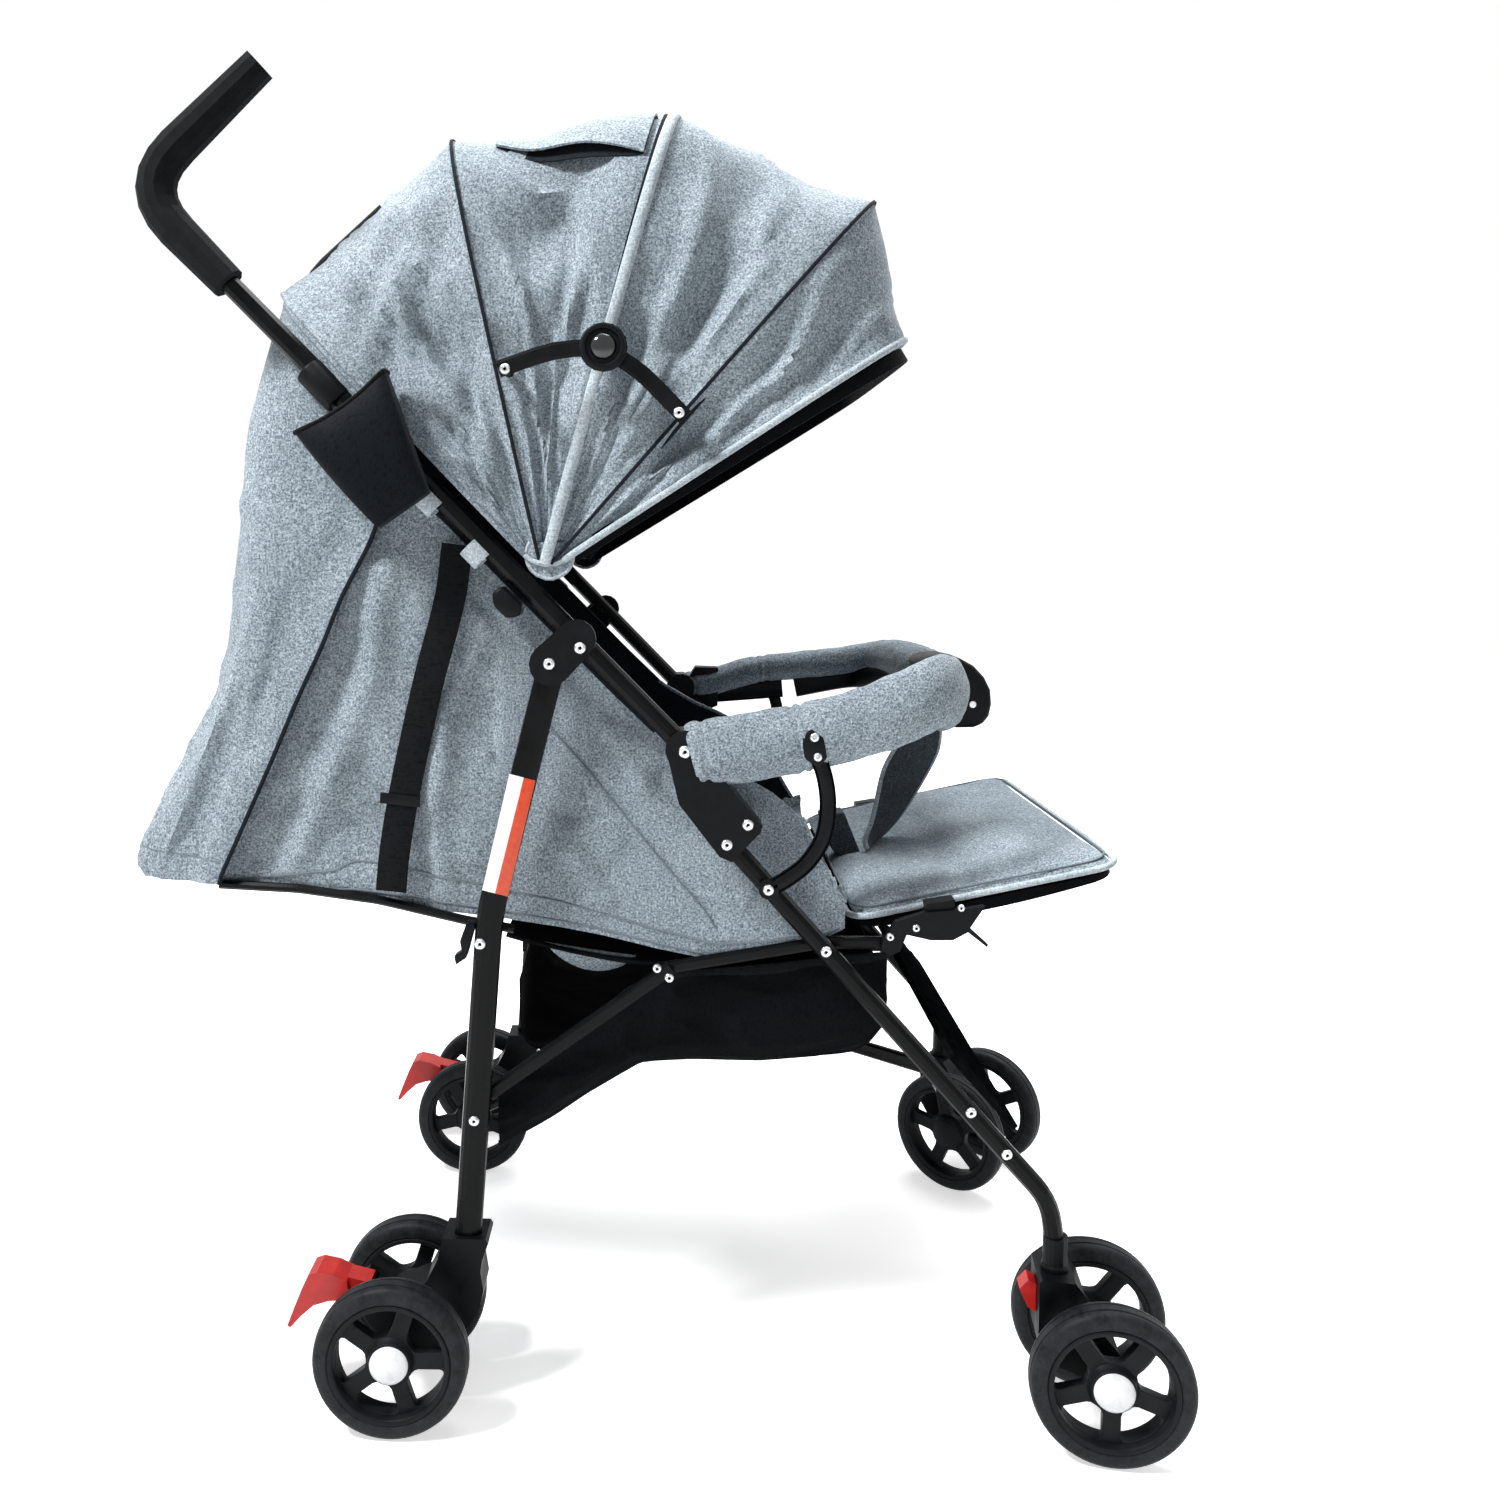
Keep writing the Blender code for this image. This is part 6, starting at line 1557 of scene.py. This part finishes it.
def flap_net(rise, reach_down, swell):
    """A strip over the crown whose edges run down the sides, and stand off the canopy."""
    net = []
    for i, turn in enumerate(FLAP_TURNS):
        t = i / (len(FLAP_TURNS) - 1)
        row, line = arch(turn, 0.0, columns=301)
        share = (0.868 - reach_down * math.sin(math.pi * t) ** 0.7) + 0.085 * t
        first = np.interp(share * reach(turn)[0], line[:151, 1], np.arange(151))
        places = np.linspace(first, 300 - first, FLAP_COLUMNS)
        row = np.stack([np.interp(places, np.arange(301), row[:, k]) for k in range(3)], axis=1)
        across = np.linspace(-1, 1, FLAP_COLUMNS)
        out = np.stack([0 * across, across**3, 1 - 0.6 * np.abs(across)], axis=1)
        out /= np.linalg.norm(out, axis=1, keepdims=True)
        edge = np.clip((np.abs(across) - 0.55) / 0.45, 0, 1)
        lift = rise + swell * math.sin(math.pi * t) * edge**2
        net.append(row + out * np.reshape(lift * np.ones(FLAP_COLUMNS), (-1, 1)))
    return np.array(net)


FLAP, MESH = flap_net(0.0042, 0.0, 0.006), flap_net(0.0018, 0.022, 0.0)
cloth("canopy_vent_flap", FLAP, FABRIC, 0.0018, INSIDE_CANOPY)
# A dark sheet just off the canopy cloth, showing below the flap's edge: painted shade in the gap under the
# flap.
cloth("canopy_vent_gap_shade", MESH, [LINING] * 3, 0.0012, INSIDE_CANOPY)


# Camera, at the photograph's place and angle. Its focal length and its centre are in pixels.
YAW, PITCH, ROLL = math.radians(-1.76867), math.radians(2.9615), math.radians(0.50434)
FOCAL, CENTRE_U, CENTRE_V, FRAME_PX = 1206.71, 631.45, 604.18, 1500
CAMERA_AT = (0.20696, -1.13023, 0.68739)
forward = Vector((math.sin(YAW) * math.cos(PITCH), math.cos(YAW) * math.cos(PITCH), -math.sin(PITCH)))
level = Vector((math.cos(YAW), -math.sin(YAW), 0))
upward = level.cross(forward)
right = math.cos(ROLL) * level + math.sin(ROLL) * upward
top = math.cos(ROLL) * upward - math.sin(ROLL) * level
lens = bpy.data.cameras.new("camera")
lens.sensor_width = 36
lens.lens = FOCAL / FRAME_PX * lens.sensor_width
lens.shift_x = (FRAME_PX / 2 - CENTRE_U) / FRAME_PX
lens.shift_y = (CENTRE_V - FRAME_PX / 2) / FRAME_PX
lens.clip_end = 50
camera = bpy.data.objects.new("camera", lens)
bpy.context.scene.collection.objects.link(camera)
place = Matrix((right, top, -forward)).transposed().to_4x4()
camera.matrix_world = Matrix.Translation(Vector(CAMERA_AT) + ORIGIN) @ place
bpy.context.scene.camera = camera

# Light, floor and background
WORLD_LIGHT = 0.21
LIT_POINT = (0.15, 0, 0.5)
FLOOR_RADIUS = 9.0


def seen(tree):
    """1 for what the camera sees, also in a mirror or through glass, and 0 for what lights the object."""
    ray = add(tree, "ShaderNodeLightPath").outputs
    direct = combined(tree, ray["Is Camera Ray"], ray["Is Glossy Ray"], "MAXIMUM")
    return combined(tree, direct, ray["Is Transmission Ray"], "MAXIMUM")


def area_light(name, position, size, power):
    """A lamp that looks at the middle of the stroller."""
    data = bpy.data.lights.new(name, "AREA")
    data.shape = "RECTANGLE"
    data.size, data.size_y = size
    data.energy = power
    lamp = bpy.data.objects.new(name, data)
    lamp.location = Vector(position) + ORIGIN
    lamp.rotation_euler = (Vector(LIT_POINT) - Vector(position)).to_track_quat("-Z", "Y").to_euler()
    bpy.context.scene.collection.objects.link(lamp)


area_light("key", (-1.2, -1.05, 2.45), (0.45, 0.45), 94)
area_light("top", (0.4, 0.5, 2.8), (1.8, 1.8), 98)
area_light("rim", (1.9, 0.9, 1.5), (1.2, 1.6), 10)

world = bpy.data.worlds.new("studio")
world.use_nodes = True
tree = world.node_tree
tree.nodes.clear()
inputs = {"Value": seen(tree), "To Min": WORLD_LIGHT, "To Max": 1.0}
strength = add(tree, "ShaderNodeMapRange", inputs=inputs)
sky = add(tree, "ShaderNodeBackground", inputs={"Color": (1, 1, 1, 1), "Strength": strength.outputs[0]})
add(tree, "ShaderNodeOutputWorld", inputs={"Surface": sky.outputs[0]})
bpy.context.scene.world = world
bpy.context.scene.view_settings.view_transform = "Standard"

floor_finish, tree, surface, place = begin("pale_floor", Roughness=0.9)
speck = grain(tree, place, 0.4)
tinted(tree, surface, speck, "#FAFAFA", "#FFFFFF")
in_view = seen(tree)
away = add(tree, "ShaderNodeVectorMath", {"operation": "LENGTH"}, {0: place}).outputs["Value"]
strength = combined(tree, in_view, between(tree, away, 0.6, 0.9, 0.8, 2.2), "MULTIPLY")
glow = add(tree, "ShaderNodeEmission", inputs={"Strength": strength})
both = add(tree, "ShaderNodeAddShader", inputs={0: surface.outputs[0], 1: glow.outputs[0]})
tree.links.new(both.outputs[0], tree.nodes["Material Output"].inputs["Surface"])
floor = [(0, 0), (FLOOR_RADIUS, 0), (FLOOR_RADIUS, -0.02), (0, -0.02)]
floor = lathe(floor, axis=(0, 0, 1), count=64)
floor = make("floor", floor, floor_finish)
floor.location.z = -0.0005
